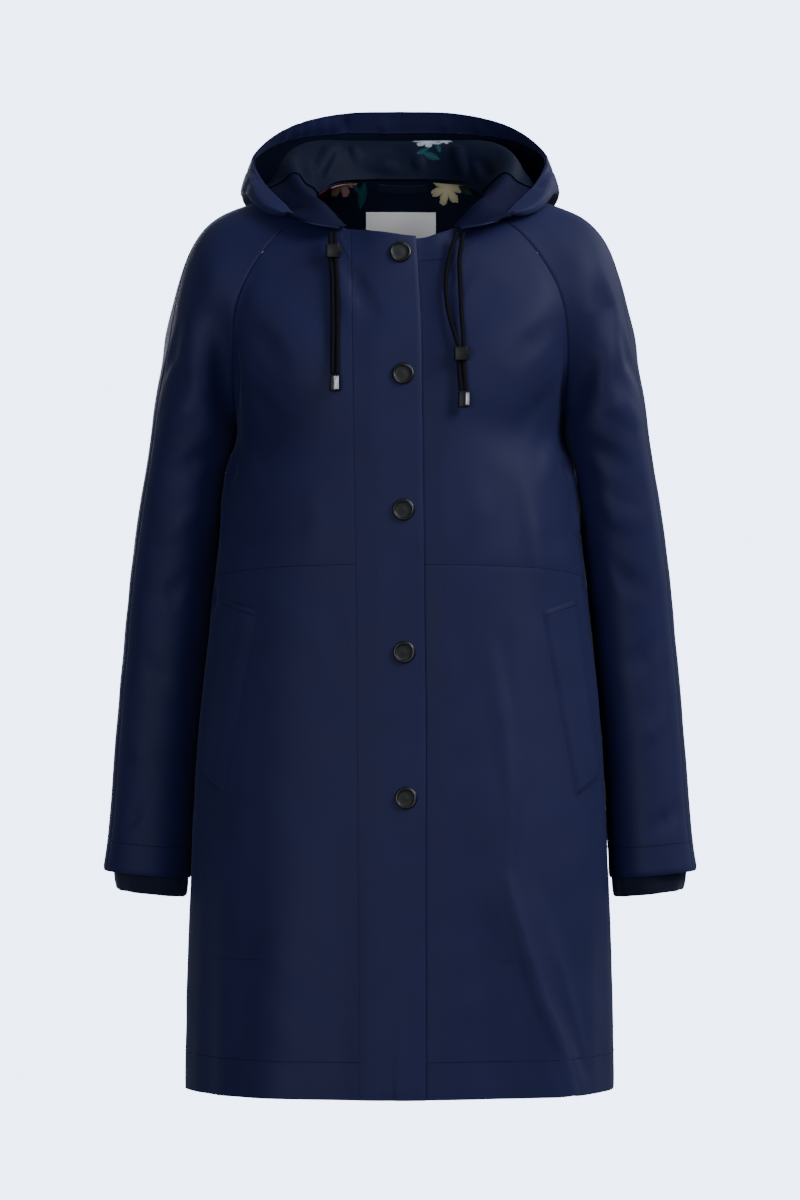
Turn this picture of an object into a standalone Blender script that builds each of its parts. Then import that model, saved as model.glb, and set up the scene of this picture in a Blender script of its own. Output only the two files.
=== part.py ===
"""Hooded raglan coat, filled out as if worn: every sewn piece is a thin solid wall.

All sizes below are millimetres. +X is the wearer's left, +Y is behind, +Z is up, and the origin is
the middle of the neck at the height of the front neckline's sides.

The coat's skin is one smooth surface through rings: yoke rings from the neckline to the underarm,
then body rings to the hem and sleeve rings to the sleeve hem. The skin is cut along its seam lines
into panels, and each panel is given its wall inward along the shared normals, so that neighbours
meet in a mitre with a small gap.
"""
from collections import namedtuple

import bmesh
import bpy
import numpy as np
from mathutils import Vector
from mathutils.bvhtree import BVHTree

MM = 0.001

# ---------------------------------------------------------------- cloth and gaps
WALL = 1.7            # bonded shell cloth with its backing
LINING_WALL = 1.0
SEAM_GAP = 0.3
JUNCTION_CUT = 0.9    # a panel's corner is cut back this far where four panels meet
SKIN_LEVEL = 1        # each face between two section points is halved this many times
FIT_ROUNDS = 6        # how often the cage is corrected so that the skin meets the section points
ARC_STEPS = 60        # steps of an arc between two section points before it is shared out
IN_FRONT = -500       # y from which a line is sent back to meet the skin

# ---------------------------------------------------------------- colours (linear RGB)
NAVY = (0.0100, 0.0150, 0.0560)
NAVY_LINING = (0.0060, 0.0085, 0.0220)
BLACK = (0.0060, 0.0065, 0.0080)
OLIVE_GREY = (0.0360, 0.0380, 0.0340)
LABEL_WHITE = (0.780, 0.775, 0.760)

# ---------------------------------------------------------------- yoke rings
# front, back: the ring's middle at the front and the back (y, z).
# seam, rear_seam: the raglan seams (x, y, z); over: the seam over the arm (x, y, z).
# to_seam, from_seam and their rear twins: the ring's direction as it reaches a raglan seam from the
# body and as it leaves it along the sleeve.
# pull, rear_pull: how full the sleeve's arcs are, as a share of their chords.
YokeRing = namedtuple("YokeRing", "front seam to_seam from_seam over pull "
                                  "back rear_seam to_rear_seam from_rear_seam rear_pull")
YOKE = [
    YokeRing((-88, -12), (76, -38, 15), (.45, .78, .44), (.30, .85, .43), (84, 2, 35), .36,
             (75, 55), (58, 58, 52), (.80, -.58, -.10), (.72, -.68, -.16), .36),
    YokeRing((-98, -42), (100, -54, 8), (.55, .65, .52), (.50, .66, .56), (122, -4, 32), .36,
             (88, 34), (84, 70, 42), (.86, -.45, .20), (.84, -.48, .16), .36),
    YokeRing((-107, -72), (124, -68, -11), (.62, .55, .56), (.60, .52, .61), (163, -10, 20), .37,
             (100, 7), (112, 80, 22), (.88, -.42, .20), (.86, -.40, .26), .37),
    YokeRing((-117, -102), (146, -78, -41), (.70, .48, .52), (.78, .28, .56), (191, -13, 4), .38,
             (110, -28), (136, 85, -10), (.88, -.42, .22), (.92, -.14, .38), .40),
    YokeRing((-126, -133), (160, -82, -73), (.70, .60, .36), (.92, -.05, .38), (210, -15, -24), .40,
             (117, -68), (152, 86, -50), (.78, -.58, .22), (.95, .10, .28), .44),
    YokeRing((-133, -163), (166, -74, -112), (.60, .78, .22), (.94, -.24, .22), (222, -17, -66), .44,
             (121, -112), (161, 80, -98), (.62, -.76, .16), (.92, .34, .20), .60),
    YokeRing((-137, -190), (165, -46, -162), (.25, .96, .12), (.72, -.68, .12), (231, -19, -118), .68,
             (122, -158), (163, 52, -154), (.25, -.96, .10), (.66, .74, .10), .98),
    YokeRing((-140, -214), (163, 4, -206), (0, 1, 0), (0, -1, 0), (241, -20, -170), .85,
             (122, -204), (163, 4, -206), (0, -1, 0), (0, 1, 0), 1.46),
]
BODY_PULL = .39        # how full the body's arcs are in the yoke, as a share of their chords
OVER_TURN_TOP = 3      # degrees by which the ring still climbs towards the back at the seam over the
OVER_TURN_ARM = 12     # arm: at the neck and at the underarm
NEXT_OVER = (247, -20, -215)   # where the seam over the arm goes below the yoke

# ---------------------------------------------------------------- body rings
# z at the sides, rise of the ring's middle at the front over its sides, half width, y where the body
# is widest, and y at the front and the back
BodyRing = namedtuple("BodyRing", "z front_rise half_width side_y front back")
BODY = [
    BodyRing(-240, -4, 171.0, -6, -142, 123),
    BodyRing(-290, 4, 177.0, -12, -146, 125),
    BodyRing(-350, 15, 184.6, -14, -149, 130),
    BodyRing(-415, 6, 191.2, -15, -153, 135),
    BodyRing(-500, 0, 200.2, -15, -158, 143),
    BodyRing(-610, 0, 206.4, -15, -166, 151),
    BodyRing(-730, 0, 211.2, -10, -173, 159),
    BodyRing(-856, 0, 213.8, -5, -180, 167),
]
HIP_RING = 2           # the ring that the front's hip seam follows
ROUNDNESS = 2.3        # 2 is an ellipse, more is squarer

# ---------------------------------------------------------------- sleeve rings
# the ring's height at its inner and outer side, its x there, and its y at the front and the back
SleeveRing = namedtuple("SleeveRing", "z_in z_out x_in x_out front back")
SLEEVE = [
    SleeveRing(-240, -212, 173.6, 251.6, -58, 86),
    SleeveRing(-288, -268, 178.0, 260.8, -51, 86),
    SleeveRing(-350, -338, 185.2, 270.6, -43, 83),
    SleeveRing(-430, -420, 193.0, 278.6, -37, 81),
    SleeveRing(-520, -511, 202.1, 286.5, -36, 77),
    SleeveRing(-600, -592, 207.0, 292.5, -38, 72),
    SleeveRing(-648, -640, 209.2, 298.8, -39, 70),
]
SLEEVE_ROUNDNESS = 2.15
SLEEVE_ANGLES = (180, 142, 105, 67, 30, -22, -75, -128)   # columns, from the inner side by the front
OVER_COLUMN = 4        # the column of the seam over the arm

# ---------------------------------------------------------------- columns round a ring
# Front columns lie between the placket and the raglan or side seam. Below the chest they follow the
# foot, crest and foot of the long fold in the skirt.
LEFT_SHARES = ((-230, .24, .46, .68, .88), (-350, .21, .38, .57, .84), (-450, .15, .29, .45, .78),
               (-640, .19, .32, .46, .74), (-730, .29, .42, .55, .78), (-856, .40, .527, .655, .83))
RIGHT_SHARES = ((-230, .24, .46, .68, .88), (-500, .26, .44, .62, .86), (-856, .30, .45, .60, .86))
BACK_SHARES = (0.28, 0.58, 0.85)
SLEEVE_SHARES = (0.25, 0.50, 0.75)
PLACKET_SEAM = ((-12, -48.0), (-360, -42.0), (-856, -38.5))      # (z, x) of the stitched side
PLACKET_EDGE = ((-12, 15.4), (-95, 20.6), (-500, 25.2), (-856, 24.4))   # (z, x) of the free edge
PLACKET_LIFT = 0.3
PLACKET_WALL = 1.7

# ---------------------------------------------------------------- the largest folds
# A fold is a line of points (x, y, z, half width, height); a height below nought is a trough.
FOLDS = [
    ((94, -160, -440, 34, 0), (98, -160, -560, 36, 3.5), (106, -160, -650, 38, 6),
     (139, -140, -735, 38, 7), (166, -126, -856, 40, 7)),                 # skirt, left front
    ((136, -120, -225, 26, 0), (140, -120, -300, 28, 3), (136, -125, -385, 28, 0)),
    ((-98, -160, -560, 42, 0), (-110, -160, -700, 44, 3), (-122, -150, -850, 46, 5)),
    ((180, -78, -38, 24, 0), (203, -66, -84, 24, -4.5), (188, -62, -135, 20, -5),
     (173, -52, -172, 18, -2)),                                           # sleeve front, left
    ((-187, -70, -46, 24, 0), (-186, -72, -90, 24, -4.5), (-174, -64, -140, 20, -5),
     (-168, -48, -176, 18, -2)),                                          # sleeve front, right
    ((200, 74, -60, 26, 0), (196, 76, -110, 24, -4), (176, 66, -165, 20, -3)),
    ((-200, 74, -60, 26, 0), (-196, 76, -110, 24, -4), (-176, 66, -165, 20, -3)),
    ((104, 150, -430, 42, 0), (112, 150, -620, 44, 4), (124, 158, -850, 46, 5)),
    ((-52, 150, -470, 42, 0), (-56, 156, -640, 44, 3), (-60, 164, -850, 46, 4)),
]
FOLD_DEPTH = 45        # a fold touches only skin this near to its line

# ---------------------------------------------------------------- storm cuffs inside the sleeves
STORM_CUFF = [
    SleeveRing(-596, -588, 211.4, 286.8, -33.6, 66.4),
    SleeveRing(-630, -622, 212.0, 286.6, -32.8, 64.4),
    SleeveRing(-657, -650, 212.2, 286.4, -32.0, 63.2),
    SleeveRing(-667, -660, 213.6, 284.2, -30.2, 61.4),
]
STORM_CUFF_COLUMNS = 16

# ---------------------------------------------------------------- what lies on the panels
# Corners are (x, z) as seen from the front, in the order top inner, top outer, bottom inner, bottom
# outer. lift: from the skin's outer points, or down from its inner side for the neck pieces.
WELT_CORNERS = ((139, -381), (173.5, -369), (172.5, -562), (197, -543.5))
WELT_LIFT = 1.5
WELT_WALL = 1.7
LABEL_CENTRE_X = 1.0
LABEL_SIZE = (71, 38)
LABEL_TOP = 25
LOOP_CENTRE_X = 3.5
LOOP_SIZE = (50, 7)
LOOP_TOP = 53.5
BEHIND_LINING = WALL + SEAM_GAP + LINING_WALL + SEAM_GAP
LABEL_WALL = 1.0
LOOP_WALL = 1.5

# ---------------------------------------------------------------- snaps
SNAP_PLACES = ((0, -28), (2.9, -149), (3.4, -282), (3.9, -421), (5.8, -563))     # (x, z)
SNAP_PROFILE = ((0, 0), (10.6, 0), (11.0, 0.8), (10.5, 2.2), (9.2, 2.9), (8.1, 2.5), (7.8, 1.6),
                (0, 1.6))            # (radius, height)
SNAP_SIDES = 14

# ---------------------------------------------------------------- draw cords
CORD_DIAMETER = 4.4
CORD_STEP = 11.0       # length of one stretch of the solid
CORD_SPAN = 8          # steps of the smooth line between two points of a route
CORD_ROUTES = {
    "cord_right_a": ((-68.5, -89.5, -8), (-68.6, -94.8, -14.5), (-68.6, -96.6, -20.5),
                     (-68.6, -96.8, -26.5), (-68.4, -97.3, -33), (-67.7, -100.2, -42),
                     (-66.8, -104.8, -54), (-66.3, -111, -72), (-66, -120.2, -100),
                     (-66.1, -129, -128), (-66.3, -134.5, -149)),
    "cord_right_b": ((-63.7, -89.5, -8), (-63.7, -94.8, -14.5), (-63.8, -96.6, -20.5),
                     (-63.8, -96.8, -26.5), (-63.6, -97.3, -33), (-62.9, -100.2, -42),
                     (-62, -104.8, -54), (-61.5, -111, -72), (-61.2, -120.2, -100),
                     (-61.3, -129, -128), (-61.5, -134.5, -149)),
    "cord_left_a": ((56, -89.5, -8), (52, -94, -20), (48.6, -97.8, -32), (45.2, -104.8, -52),
                    (45.4, -111.8, -72), (48.4, -119, -92), (54, -127.3, -111),
                    (57.1, -131.6, -122), (57.3, -132.4, -129), (57.4, -133, -136),
                    (58, -135.2, -146), (59.3, -138.2, -165)),
    "cord_left_b": ((62.5, -89.5, -8), (60.5, -94, -20), (58.6, -98.2, -33), (58.8, -105.6, -54),
                    (59.6, -112.4, -74), (60.6, -119.8, -94), (61.8, -127.8, -112),
                    (62.1, -131.6, -122), (62.1, -132.4, -129), (62.2, -133, -136),
                    (62.7, -135.2, -146), (64, -138.2, -165)),
}
# centre, size, and the slot's width and depth
LOCKS = {"cord_lock_right": ((-66.2, -96.7, -26.5), (14.0, 10.0, 13.5), (10.6, 6.6)),
         "cord_lock_left": ((59.7, -132.5, -129), (14.0, 10.0, 13.5), (10.6, 6.6))}
LOCK_CHAMFER = 1.2
# centre and size; the foot is a little wider than the top
CORD_ENDS = {"cord_end_right": ((-63.9, -135.4, -157.8), (10.6, 7.0, 16.0)),
             "cord_end_left": ((61.7, -138.9, -173.8), (10.6, 7.0, 16.0))}
CORD_END_TOP = 0.88

# ---------------------------------------------------------------- hood
# One row for each station from the front corner to the middle of the back. share: where the station
# leaves the neckline, as a share of its length. From there the cloth rises to the roll, falls inside
# to the bag, turns at its low side, and climbs outside to the rim.
HoodStation = namedtuple("HoodStation", "share rise roll inner bag low outer rim")
HOOD = [
    HoodStation(.00, (55, -69, -1), (56, -72, -2), (57, -75, -2), (58, -78, -2), (59, -81, -3),
                (60, -84, -4), (60, -87, -5)),
    HoodStation(.14, (71, -60, 17), (77, -62, 22), (81, -67, 20), (85, -72, 15), (89, -77, 9),
                (90, -81, 5), (87, -84, 0)),
    HoodStation(.25, (83, -42, 28), (90, -47, 32), (97, -51, 25), (107, -54, 15), (127, -59, 12),
                (132, -55, 20), (115, -50, 25)),
    HoodStation(.42, (94, -8, 46), (106, -12, 54), (116, -9, 46), (129, -7, 40), (156, 2, 38),
                (152, 5, 51), (137, -10, 49)),
    HoodStation(.58, (92, 34, 68), (108, 36, 78), (124, 48, 58), (139, 66, 37), (156, 80, 29),
                (155, 70, 60), (148, 54, 80)),
    HoodStation(.75, (68, 66, 84), (86, 76, 92), (102, 102, 40), (98, 132, -40), (118, 150, -14),
                (128, 132, 60), (111, 104, 113)),
    HoodStation(.88, (38, 80, 86), (48, 98, 94), (56, 114, 4), (52, 140, -106), (66, 168, -56),
                (70, 160, 50), (58, 129, 127.5)),
    HoodStation(1.0, (0, 84, 86), (0, 103, 94), (0, 118, -10), (0, 143, -126), (0, 176, -66),
                (0, 170, 46), (0, 137, 130)),
]
HOOD_CORNER_X = 54        # where the hood's seam starts at each side of the front opening
HOOD_SPAN = 2             # faces between two section points of the hood
MIDDLE_STATIONS = 1       # stations each side of the middle that the hood's middle panel covers
LINED_STATION = 3         # the lining starts at this station from each corner

# ---------------------------------------------------------------- panels
PANELS = ("front_upper_right", "front_upper_left", "front_lower_right", "front_lower_left", "back",
          "sleeve_front_right", "sleeve_front_left", "sleeve_back_right", "sleeve_back_left")
PLACKET_TAG = 20       # added to a front panel's number where the placket covers it
LINED_TAG = 40         # added to a back panel's number where the neck lining lies behind it
LINED_ROWS = 3         # yoke rows that the neck lining covers
BEHIND = [PANELS.index(name) for name in ("back", "sleeve_back_right", "sleeve_back_left")]


# ---------------------------------------------------------------- curves
def bezier(start, start_dir, end, end_dir, pull, count=ARC_STEPS):
    """A cubic arc between two points with the given directions, as an array of points."""
    start, end = np.array(start, float), np.array(end, float)
    reach = pull * np.linalg.norm(end - start)
    a = start + reach * unit(start_dir)
    b = end - reach * unit(end_dir)
    t = np.linspace(0, 1, count)[:, None]
    return (1 - t)**3 * start + 3 * (1 - t)**2 * t * a + 3 * (1 - t) * t**2 * b + t**3 * end


def unit(vector):
    vector = np.array(vector, float)
    return vector / np.linalg.norm(vector)


def shares_along(line, shares):
    """Points at the given shares of a line's length."""
    steps = np.linalg.norm(np.diff(line, axis=0), axis=1)
    run = np.concatenate([[0], np.cumsum(steps)]) / steps.sum()
    return [np.array([np.interp(s, run, line[:, k]) for k in range(3)]) for s in shares]


def beyond_x(line, x):
    """The stretch of a line from where it crosses x outward, for a line that starts nearer."""
    index = int(np.argmax(line[:, 0] > x))
    before, after = line[index - 1], line[index]
    cut = before + (after - before) * (x - before[0]) / (after[0] - before[0])
    return np.vstack([cut, line[index:]])


def mirrored(points):
    return np.array(points) * (-1, 1, 1)


def at_height(table, z):
    """x from a table of (z, x) rows."""
    heights, values = zip(*sorted(table))
    return float(np.interp(z, heights, values))


def shares_at(table, z):
    """The shares of a table of (z, shares) rows at a height."""
    heights, *columns = zip(*sorted(table))
    return [float(np.interp(z, heights, column)) for column in columns]


# ---------------------------------------------------------------- rings of the skin
def front_columns(arc):
    """Thirteen points from the right seam over the placket to the left seam, from one half arc."""
    z = arc[0][2]
    right = beyond_x(arc, -at_height(PLACKET_SEAM, z))
    left = beyond_x(arc, at_height(PLACKET_EDGE, z))
    right_points = [arc[-1]] + shares_along(right, shares_at(RIGHT_SHARES, z))[::-1] + [right[0]]
    left_points = [left[0]] + shares_along(left, shares_at(LEFT_SHARES, z)) + [arc[-1]]
    middle = (right[0] * (-1, 1, 1) + left[0]) / 2
    middle[1] = arc[0][1]
    return list(mirrored(right_points)) + [middle] + left_points


def back_columns(arc):
    """Nine points from the left seam over the middle of the back to the right seam."""
    half = [arc[-1]] + shares_along(arc, BACK_SHARES)[::-1] + [arc[0]]
    return half + list(mirrored(half[-2::-1]))


def over_direction(index):
    """The ring's direction at the seam over the arm: backward, and still climbing a little."""
    line = [ring.over for ring in YOKE] + [NEXT_OVER]
    previous = line[max(index - 1, 0)]
    run = unit(np.array(line[index + 1], float) - previous)
    outward = unit(np.cross(run, (0, 1, 0)))
    if outward[2] < 0:
        outward = -outward
    share = index / (len(YOKE) - 1)
    turn = np.radians(OVER_TURN_TOP + (OVER_TURN_ARM - OVER_TURN_TOP) * share)
    return np.array((0, 1, 0)) * np.cos(turn) + outward * np.sin(turn)


def oval_arc(middle, side):
    """A quarter of a squared oval, from the ring's middle to its side."""
    turn = np.linspace(0, np.pi / 2, ARC_STEPS)
    x = side[0] * np.sin(turn)**(2 / ROUNDNESS)
    depth = np.cos(turn).clip(0)**(2 / ROUNDNESS)
    return np.column_stack([x, side[1] + (middle[0] - side[1]) * depth,
                            side[2] + (middle[1] - side[2]) * depth])


def yoke_ring(index):
    """The ring's columns: front, left sleeve, back and right sleeve, each with both its ends."""
    ring = YOKE[index]
    if index == len(YOKE) - 1:
        front, back = oval_arc(ring.front, ring.seam), oval_arc(ring.back, ring.rear_seam)
    else:
        front = bezier((0, *ring.front), (1, 0, 0), ring.seam, ring.to_seam, BODY_PULL)
        back = bezier((0, *ring.back), (1, 0, 0), ring.rear_seam, ring.to_rear_seam, BODY_PULL)
    front, back = front_columns(front), back_columns(back)
    over = over_direction(index)
    fore = bezier(ring.seam, ring.from_seam, ring.over, over, ring.pull)
    rear = bezier(ring.rear_seam, ring.from_rear_seam, ring.over, -over, ring.rear_pull)
    sleeve = ([fore[0]] + shares_along(fore, SLEEVE_SHARES) + [fore[-1]]
              + shares_along(rear, SLEEVE_SHARES)[::-1] + [rear[0]])
    return front, sleeve, back, list(mirrored(sleeve[::-1]))


def oval(angles, x_in, x_out, front, back, power):
    """Points of a squared oval: 180 degrees is the inner side, 90 the front, 0 the outer side."""
    middle_x, reach_x = (x_in + x_out) / 2, (x_out - x_in) / 2
    middle_y, reach_y = (front + back) / 2, (back - front) / 2
    points = []
    for angle in np.radians(angles):
        c, s = np.cos(angle), np.sin(angle)
        points.append((middle_x + reach_x * np.sign(c) * abs(c)**(2 / power),
                       middle_y - reach_y * np.sign(s) * abs(s)**(2 / power)))
    return points


def body_ring(ring):
    """Twenty columns: thirteen over the front, from the right side to the left, then seven behind."""
    side = (ring.half_width, ring.side_y, ring.z)
    front = oval_arc((ring.front, ring.z + ring.front_rise), side)
    back = oval_arc((ring.back, ring.z), side)
    return front_columns(front) + back_columns(back)[1:-1]


def sleeve_ring(ring, angles=SLEEVE_ANGLES):
    """Points round the left sleeve or cuff, from its inner side by the front."""
    points = []
    for x, y in oval(angles, ring.x_in, ring.x_out, ring.front, ring.back, SLEEVE_ROUNDNESS):
        share = (x - ring.x_in) / (ring.x_out - ring.x_in)
        points.append(np.array((x, y, ring.z_in + (ring.z_out - ring.z_in) * share)))
    return points


# ---------------------------------------------------------------- the cage of the coat
class Cage:
    """Section points and the faces between them, each face tagged with its panel."""

    def __init__(self):
        self.points, self.faces, self.tags = [], [], []

    def add(self, points):
        start = len(self.points)
        self.points.extend(points)
        return list(range(start, start + len(points)))

    def strip(self, upper, lower, tags):
        """Faces between two rows of point numbers, one tag for each column."""
        for k, tag in enumerate(tags):
            self.faces.append((upper[k], lower[k], lower[k + 1], upper[k + 1]))
            self.tags.append(tag)


def front_tags(names):
    """Tags of the twelve front columns: five right, two under the placket, five left."""
    right, left = (PANELS.index(name) for name in names)
    return [right] * 5 + [left + PLACKET_TAG] * 2 + [left] * 5


def coat_cage():
    cage = Cage()
    upper = front_tags(("front_upper_right", "front_upper_left"))
    lower = front_tags(("front_lower_right", "front_lower_left"))
    back = [PANELS.index("back")] * 8
    left_sleeve = ([PANELS.index("sleeve_front_left")] * OVER_COLUMN
                   + [PANELS.index("sleeve_back_left")] * (8 - OVER_COLUMN))
    right_sleeve = ([PANELS.index("sleeve_back_right")] * (8 - OVER_COLUMN)
                    + [PANELS.index("sleeve_front_right")] * OVER_COLUMN)
    yoke_rows = []
    for index in range(len(YOKE)):
        front, left, rear, right = yoke_ring(index)
        front_ids = cage.add(front)
        left_ids = [front_ids[-1]] + cage.add(left[1:-1])
        if index < len(YOKE) - 1:
            rear_ids = cage.add(rear)
        else:                          # the raglan seams end together at the underarm
            rear_ids = [front_ids[-1]] + cage.add(rear[1:-1]) + [front_ids[0]]
        left_ids.append(rear_ids[0])
        right_ids = [rear_ids[-1]] + cage.add(right[1:-1]) + [front_ids[0]]
        yoke_rows.append((front_ids, left_ids, rear_ids, right_ids))
    for index, (above, below) in enumerate(zip(yoke_rows, yoke_rows[1:])):
        for a, b, tags in zip(above, below, (upper, left_sleeve, back, right_sleeve)):
            lined = index < LINED_ROWS
            cage.strip(a, b, [tag + LINED_TAG if lined and tag in BEHIND else tag for tag in tags])
    front_ids, left_ids, rear_ids, right_ids = yoke_rows[-1]

    row = front_ids + rear_ids[1:]
    for index, ring in enumerate(BODY):
        ids = cage.add(body_ring(ring))
        ids.append(ids[0])
        cage.strip(row, ids, (upper if index <= HIP_RING else lower) + back)
        row = ids

    left_row, right_row = left_ids, right_ids
    for ring in SLEEVE:
        points = sleeve_ring(ring)
        ids = cage.add(points)
        ids.append(ids[0])
        cage.strip(left_row, ids, left_sleeve)
        left_row = ids
        ids = cage.add(mirrored([points[0]] + points[:0:-1]))
        ids.append(ids[0])
        cage.strip(right_row, ids, right_sleeve)
        right_row = ids
    return cage


# ---------------------------------------------------------------- smooth skins
Skin = namedtuple("Skin", "points normals faces tags")


def smooth_skin(points, faces, tags, level):
    """The smooth surface of a cage, halved level times, as Blender's subdivision makes it."""
    mesh = bpy.data.meshes.new("cage")
    mesh.from_pydata([tuple(p) for p in points], [], faces)
    mesh.polygons.foreach_set("material_index", tags)
    cage = bpy.data.objects.new("cage", mesh)
    bpy.context.collection.objects.link(cage)
    halving = cage.modifiers.new("halving", "SUBSURF")
    halving.levels = halving.render_levels = level
    shape = cage.evaluated_get(bpy.context.evaluated_depsgraph_get())
    smooth = bpy.data.meshes.new_from_object(shape)
    skin = Skin(np.array([tuple(v.co) for v in smooth.vertices]),
                np.array([tuple(v.normal) for v in smooth.vertices]),
                [tuple(p.vertices) for p in smooth.polygons],
                [p.material_index for p in smooth.polygons])
    bpy.data.objects.remove(cage)
    bpy.data.meshes.remove(mesh)
    bpy.data.meshes.remove(smooth)
    return skin


def point_normals(points, faces):
    """Each point's normal, from the faces round it."""
    mesh = bpy.data.meshes.new("skin")
    mesh.from_pydata([tuple(p) for p in points], [], faces)
    normals = np.array([tuple(v.normal) for v in mesh.vertices])
    bpy.data.meshes.remove(mesh)
    return normals


def fitted_skin(cage, level=SKIN_LEVEL):
    """The smooth skin that passes through the cage's section points."""
    wanted = np.array(cage.points)
    points = wanted.copy()
    for _ in range(FIT_ROUNDS):
        skin = smooth_skin(points, cage.faces, cage.tags, level)
        points += wanted - skin.points[:len(wanted)]
    return smooth_skin(points, cage.faces, cage.tags, level)


def folded(skin):
    """The skin with its largest folds raised or sunk along its normals."""
    lift = np.zeros(len(skin.points))
    for fold in FOLDS:
        here = np.zeros(len(skin.points))
        for start, end in zip(fold, fold[1:]):
            start, run = np.array(start, float), np.array(end, float) - start
            away = skin.points - start[:3]
            share = (away @ run[:3] / (run[:3] @ run[:3])).clip(0, 1)
            away -= share[:, None] * run[:3]
            depth = (away * skin.normals).sum(1)
            side = np.sqrt(((away - depth[:, None] * skin.normals)**2).sum(1))
            width, height = start[3] + share * run[3], start[4] + share * run[4]
            bump = height * (1 - (side / width).clip(0, 1)**2)**2 * (abs(depth) < FOLD_DEPTH)
            here = np.where(abs(bump) > abs(here), bump, here)
        lift += here
    points = skin.points + lift[:, None] * skin.normals
    return Skin(points, point_normals(points, skin.faces), skin.faces, skin.tags)


# ---------------------------------------------------------------- walls
def mitre_lengths(points, normals, faces):
    """How much longer an offset along each vertex's normal is than the wall at its faces."""
    total, count = np.zeros(len(points)), np.zeros(len(points))
    for face in faces:
        a, b, c = (points[face[k]] for k in (0, 1, 2))
        d = points[face[-1]]
        flat = np.cross(c - a, d - b)
        size = np.linalg.norm(flat)
        if size < 1e-9:
            continue
        for v in face:
            total[v] += abs(normals[v] @ flat) / size
            count[v] += 1
    return 1 / np.clip(total / np.maximum(count, 1), 0.55, 1)


def edge_pull(points, normals, faces, gap):
    """Moves that draw a panel's border in along its own surface, half a seam gap."""
    uses = {}
    for face in faces:
        for a, b in zip(face, face[1:] + face[:1]):
            uses.setdefault(frozenset((a, b)), []).append((a, b))
    moves = {}
    for pairs in uses.values():
        if len(pairs) > 1:
            continue
        a, b = pairs[0]
        along = points[b] - points[a]
        inward = unit(np.cross(normals[a] + normals[b], along))
        for v in (a, b):
            moves.setdefault(v, []).append(inward)
    pulls = {}
    for v, sides in moves.items():
        total = sum(sides)
        pulls[v] = gap / 2 * total * len(sides) / max(total @ total, 0.8)
    return pulls, uses


def junctions(skin):
    """Points where four panels of the coat meet, such as the underarm."""
    panels = {}
    for face, tag in zip(skin.faces, skin.tags):
        for v in face:
            panels.setdefault(v, set()).add(tag % PLACKET_TAG)
    return [v for v, meeting in panels.items() if len(meeting) > 3]


def wall(skin, chosen, outer, inner, gap=SEAM_GAP, corners=()):
    """A closed wall over the chosen faces, from outer to inner along the skin's normals.

    Corners are points where the panel is cut back a little further.
    """
    faces = [face for face, tag in zip(skin.faces, skin.tags) if chosen(tag)]
    lengths = mitre_lengths(skin.points, skin.normals, skin.faces)
    moves, uses = edge_pull(skin.points, skin.normals, faces, gap)
    for v in corners:
        if v in moves:
            moves[v] = JUNCTION_CUT * unit(moves[v])
    used = sorted({v for face in faces for v in face})
    number = {v: k for k, v in enumerate(used)}
    base = np.array([skin.points[v] + moves.get(v, 0) for v in used])
    out = np.array([skin.normals[v] * lengths[v] for v in used])
    points = np.vstack([base + out * outer, base + out * inner])
    half = len(used)
    walls = []
    for face in faces:
        a, b, c, d = (number[v] for v in face)
        walls += [(a, b, c), (a, c, d), (c + half, b + half, a + half), (d + half, c + half, a + half)]
    for pairs in uses.values():
        if len(pairs) == 1:        # neighbours split the end face along the same diagonal
            a, b = (number[v] for v in pairs[0])
            if pairs[0][0] < pairs[0][1]:
                walls += [(b, a, b + half), (a, a + half, b + half)]
            else:
                walls += [(b, a, a + half), (b, a + half, b + half)]
    return points, walls


# ---------------------------------------------------------------- objects and materials
def material(name, colour, roughness, metallic=0.0):
    made = bpy.data.materials.new(name)
    made.use_nodes = True
    shader = made.node_tree.nodes["Principled BSDF"]
    shader.inputs["Base Color"].default_value = (*colour, 1)
    shader.inputs["Roughness"].default_value = roughness
    shader.inputs["Metallic"].default_value = metallic
    made.diffuse_color = (*colour, 1)
    return made


def solid(name, points, faces, finish):
    """One named object from points in millimetres, its faces turned outward."""
    mesh = bpy.data.meshes.new(name)
    mesh.from_pydata([tuple(np.array(p) * MM) for p in points], [], faces)
    shape = bmesh.new()
    shape.from_mesh(mesh)
    bmesh.ops.recalc_face_normals(shape, faces=shape.faces)
    shape.to_mesh(mesh)
    shape.free()
    mesh.materials.append(finish)
    mesh.shade_smooth()
    made = bpy.data.objects.new(name, mesh)
    bpy.context.collection.objects.link(made)
    return made


def clear_scene():
    for old in list(bpy.data.objects):
        bpy.data.objects.remove(old)


# ---------------------------------------------------------------- the coat's pieces
def coat_panels(skin, finish):
    corners = junctions(skin)
    for number, name in enumerate(PANELS):
        points, faces = wall(skin, lambda tag: tag % PLACKET_TAG == number, 0, -WALL,
                             corners=corners)
        solid(name, points, faces, finish)


def placket(skin, finish):
    points, faces = wall(skin, lambda tag: PLACKET_TAG <= tag < LINED_TAG,
                         PLACKET_LIFT + PLACKET_WALL, PLACKET_LIFT, 0)
    solid("placket", points, faces, finish)


def neck_lining(skin, finish):
    points, faces = wall(skin, lambda tag: tag >= LINED_TAG, -WALL - SEAM_GAP,
                         -WALL - SEAM_GAP - LINING_WALL)
    solid("neck_lining", points, faces, finish)


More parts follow.
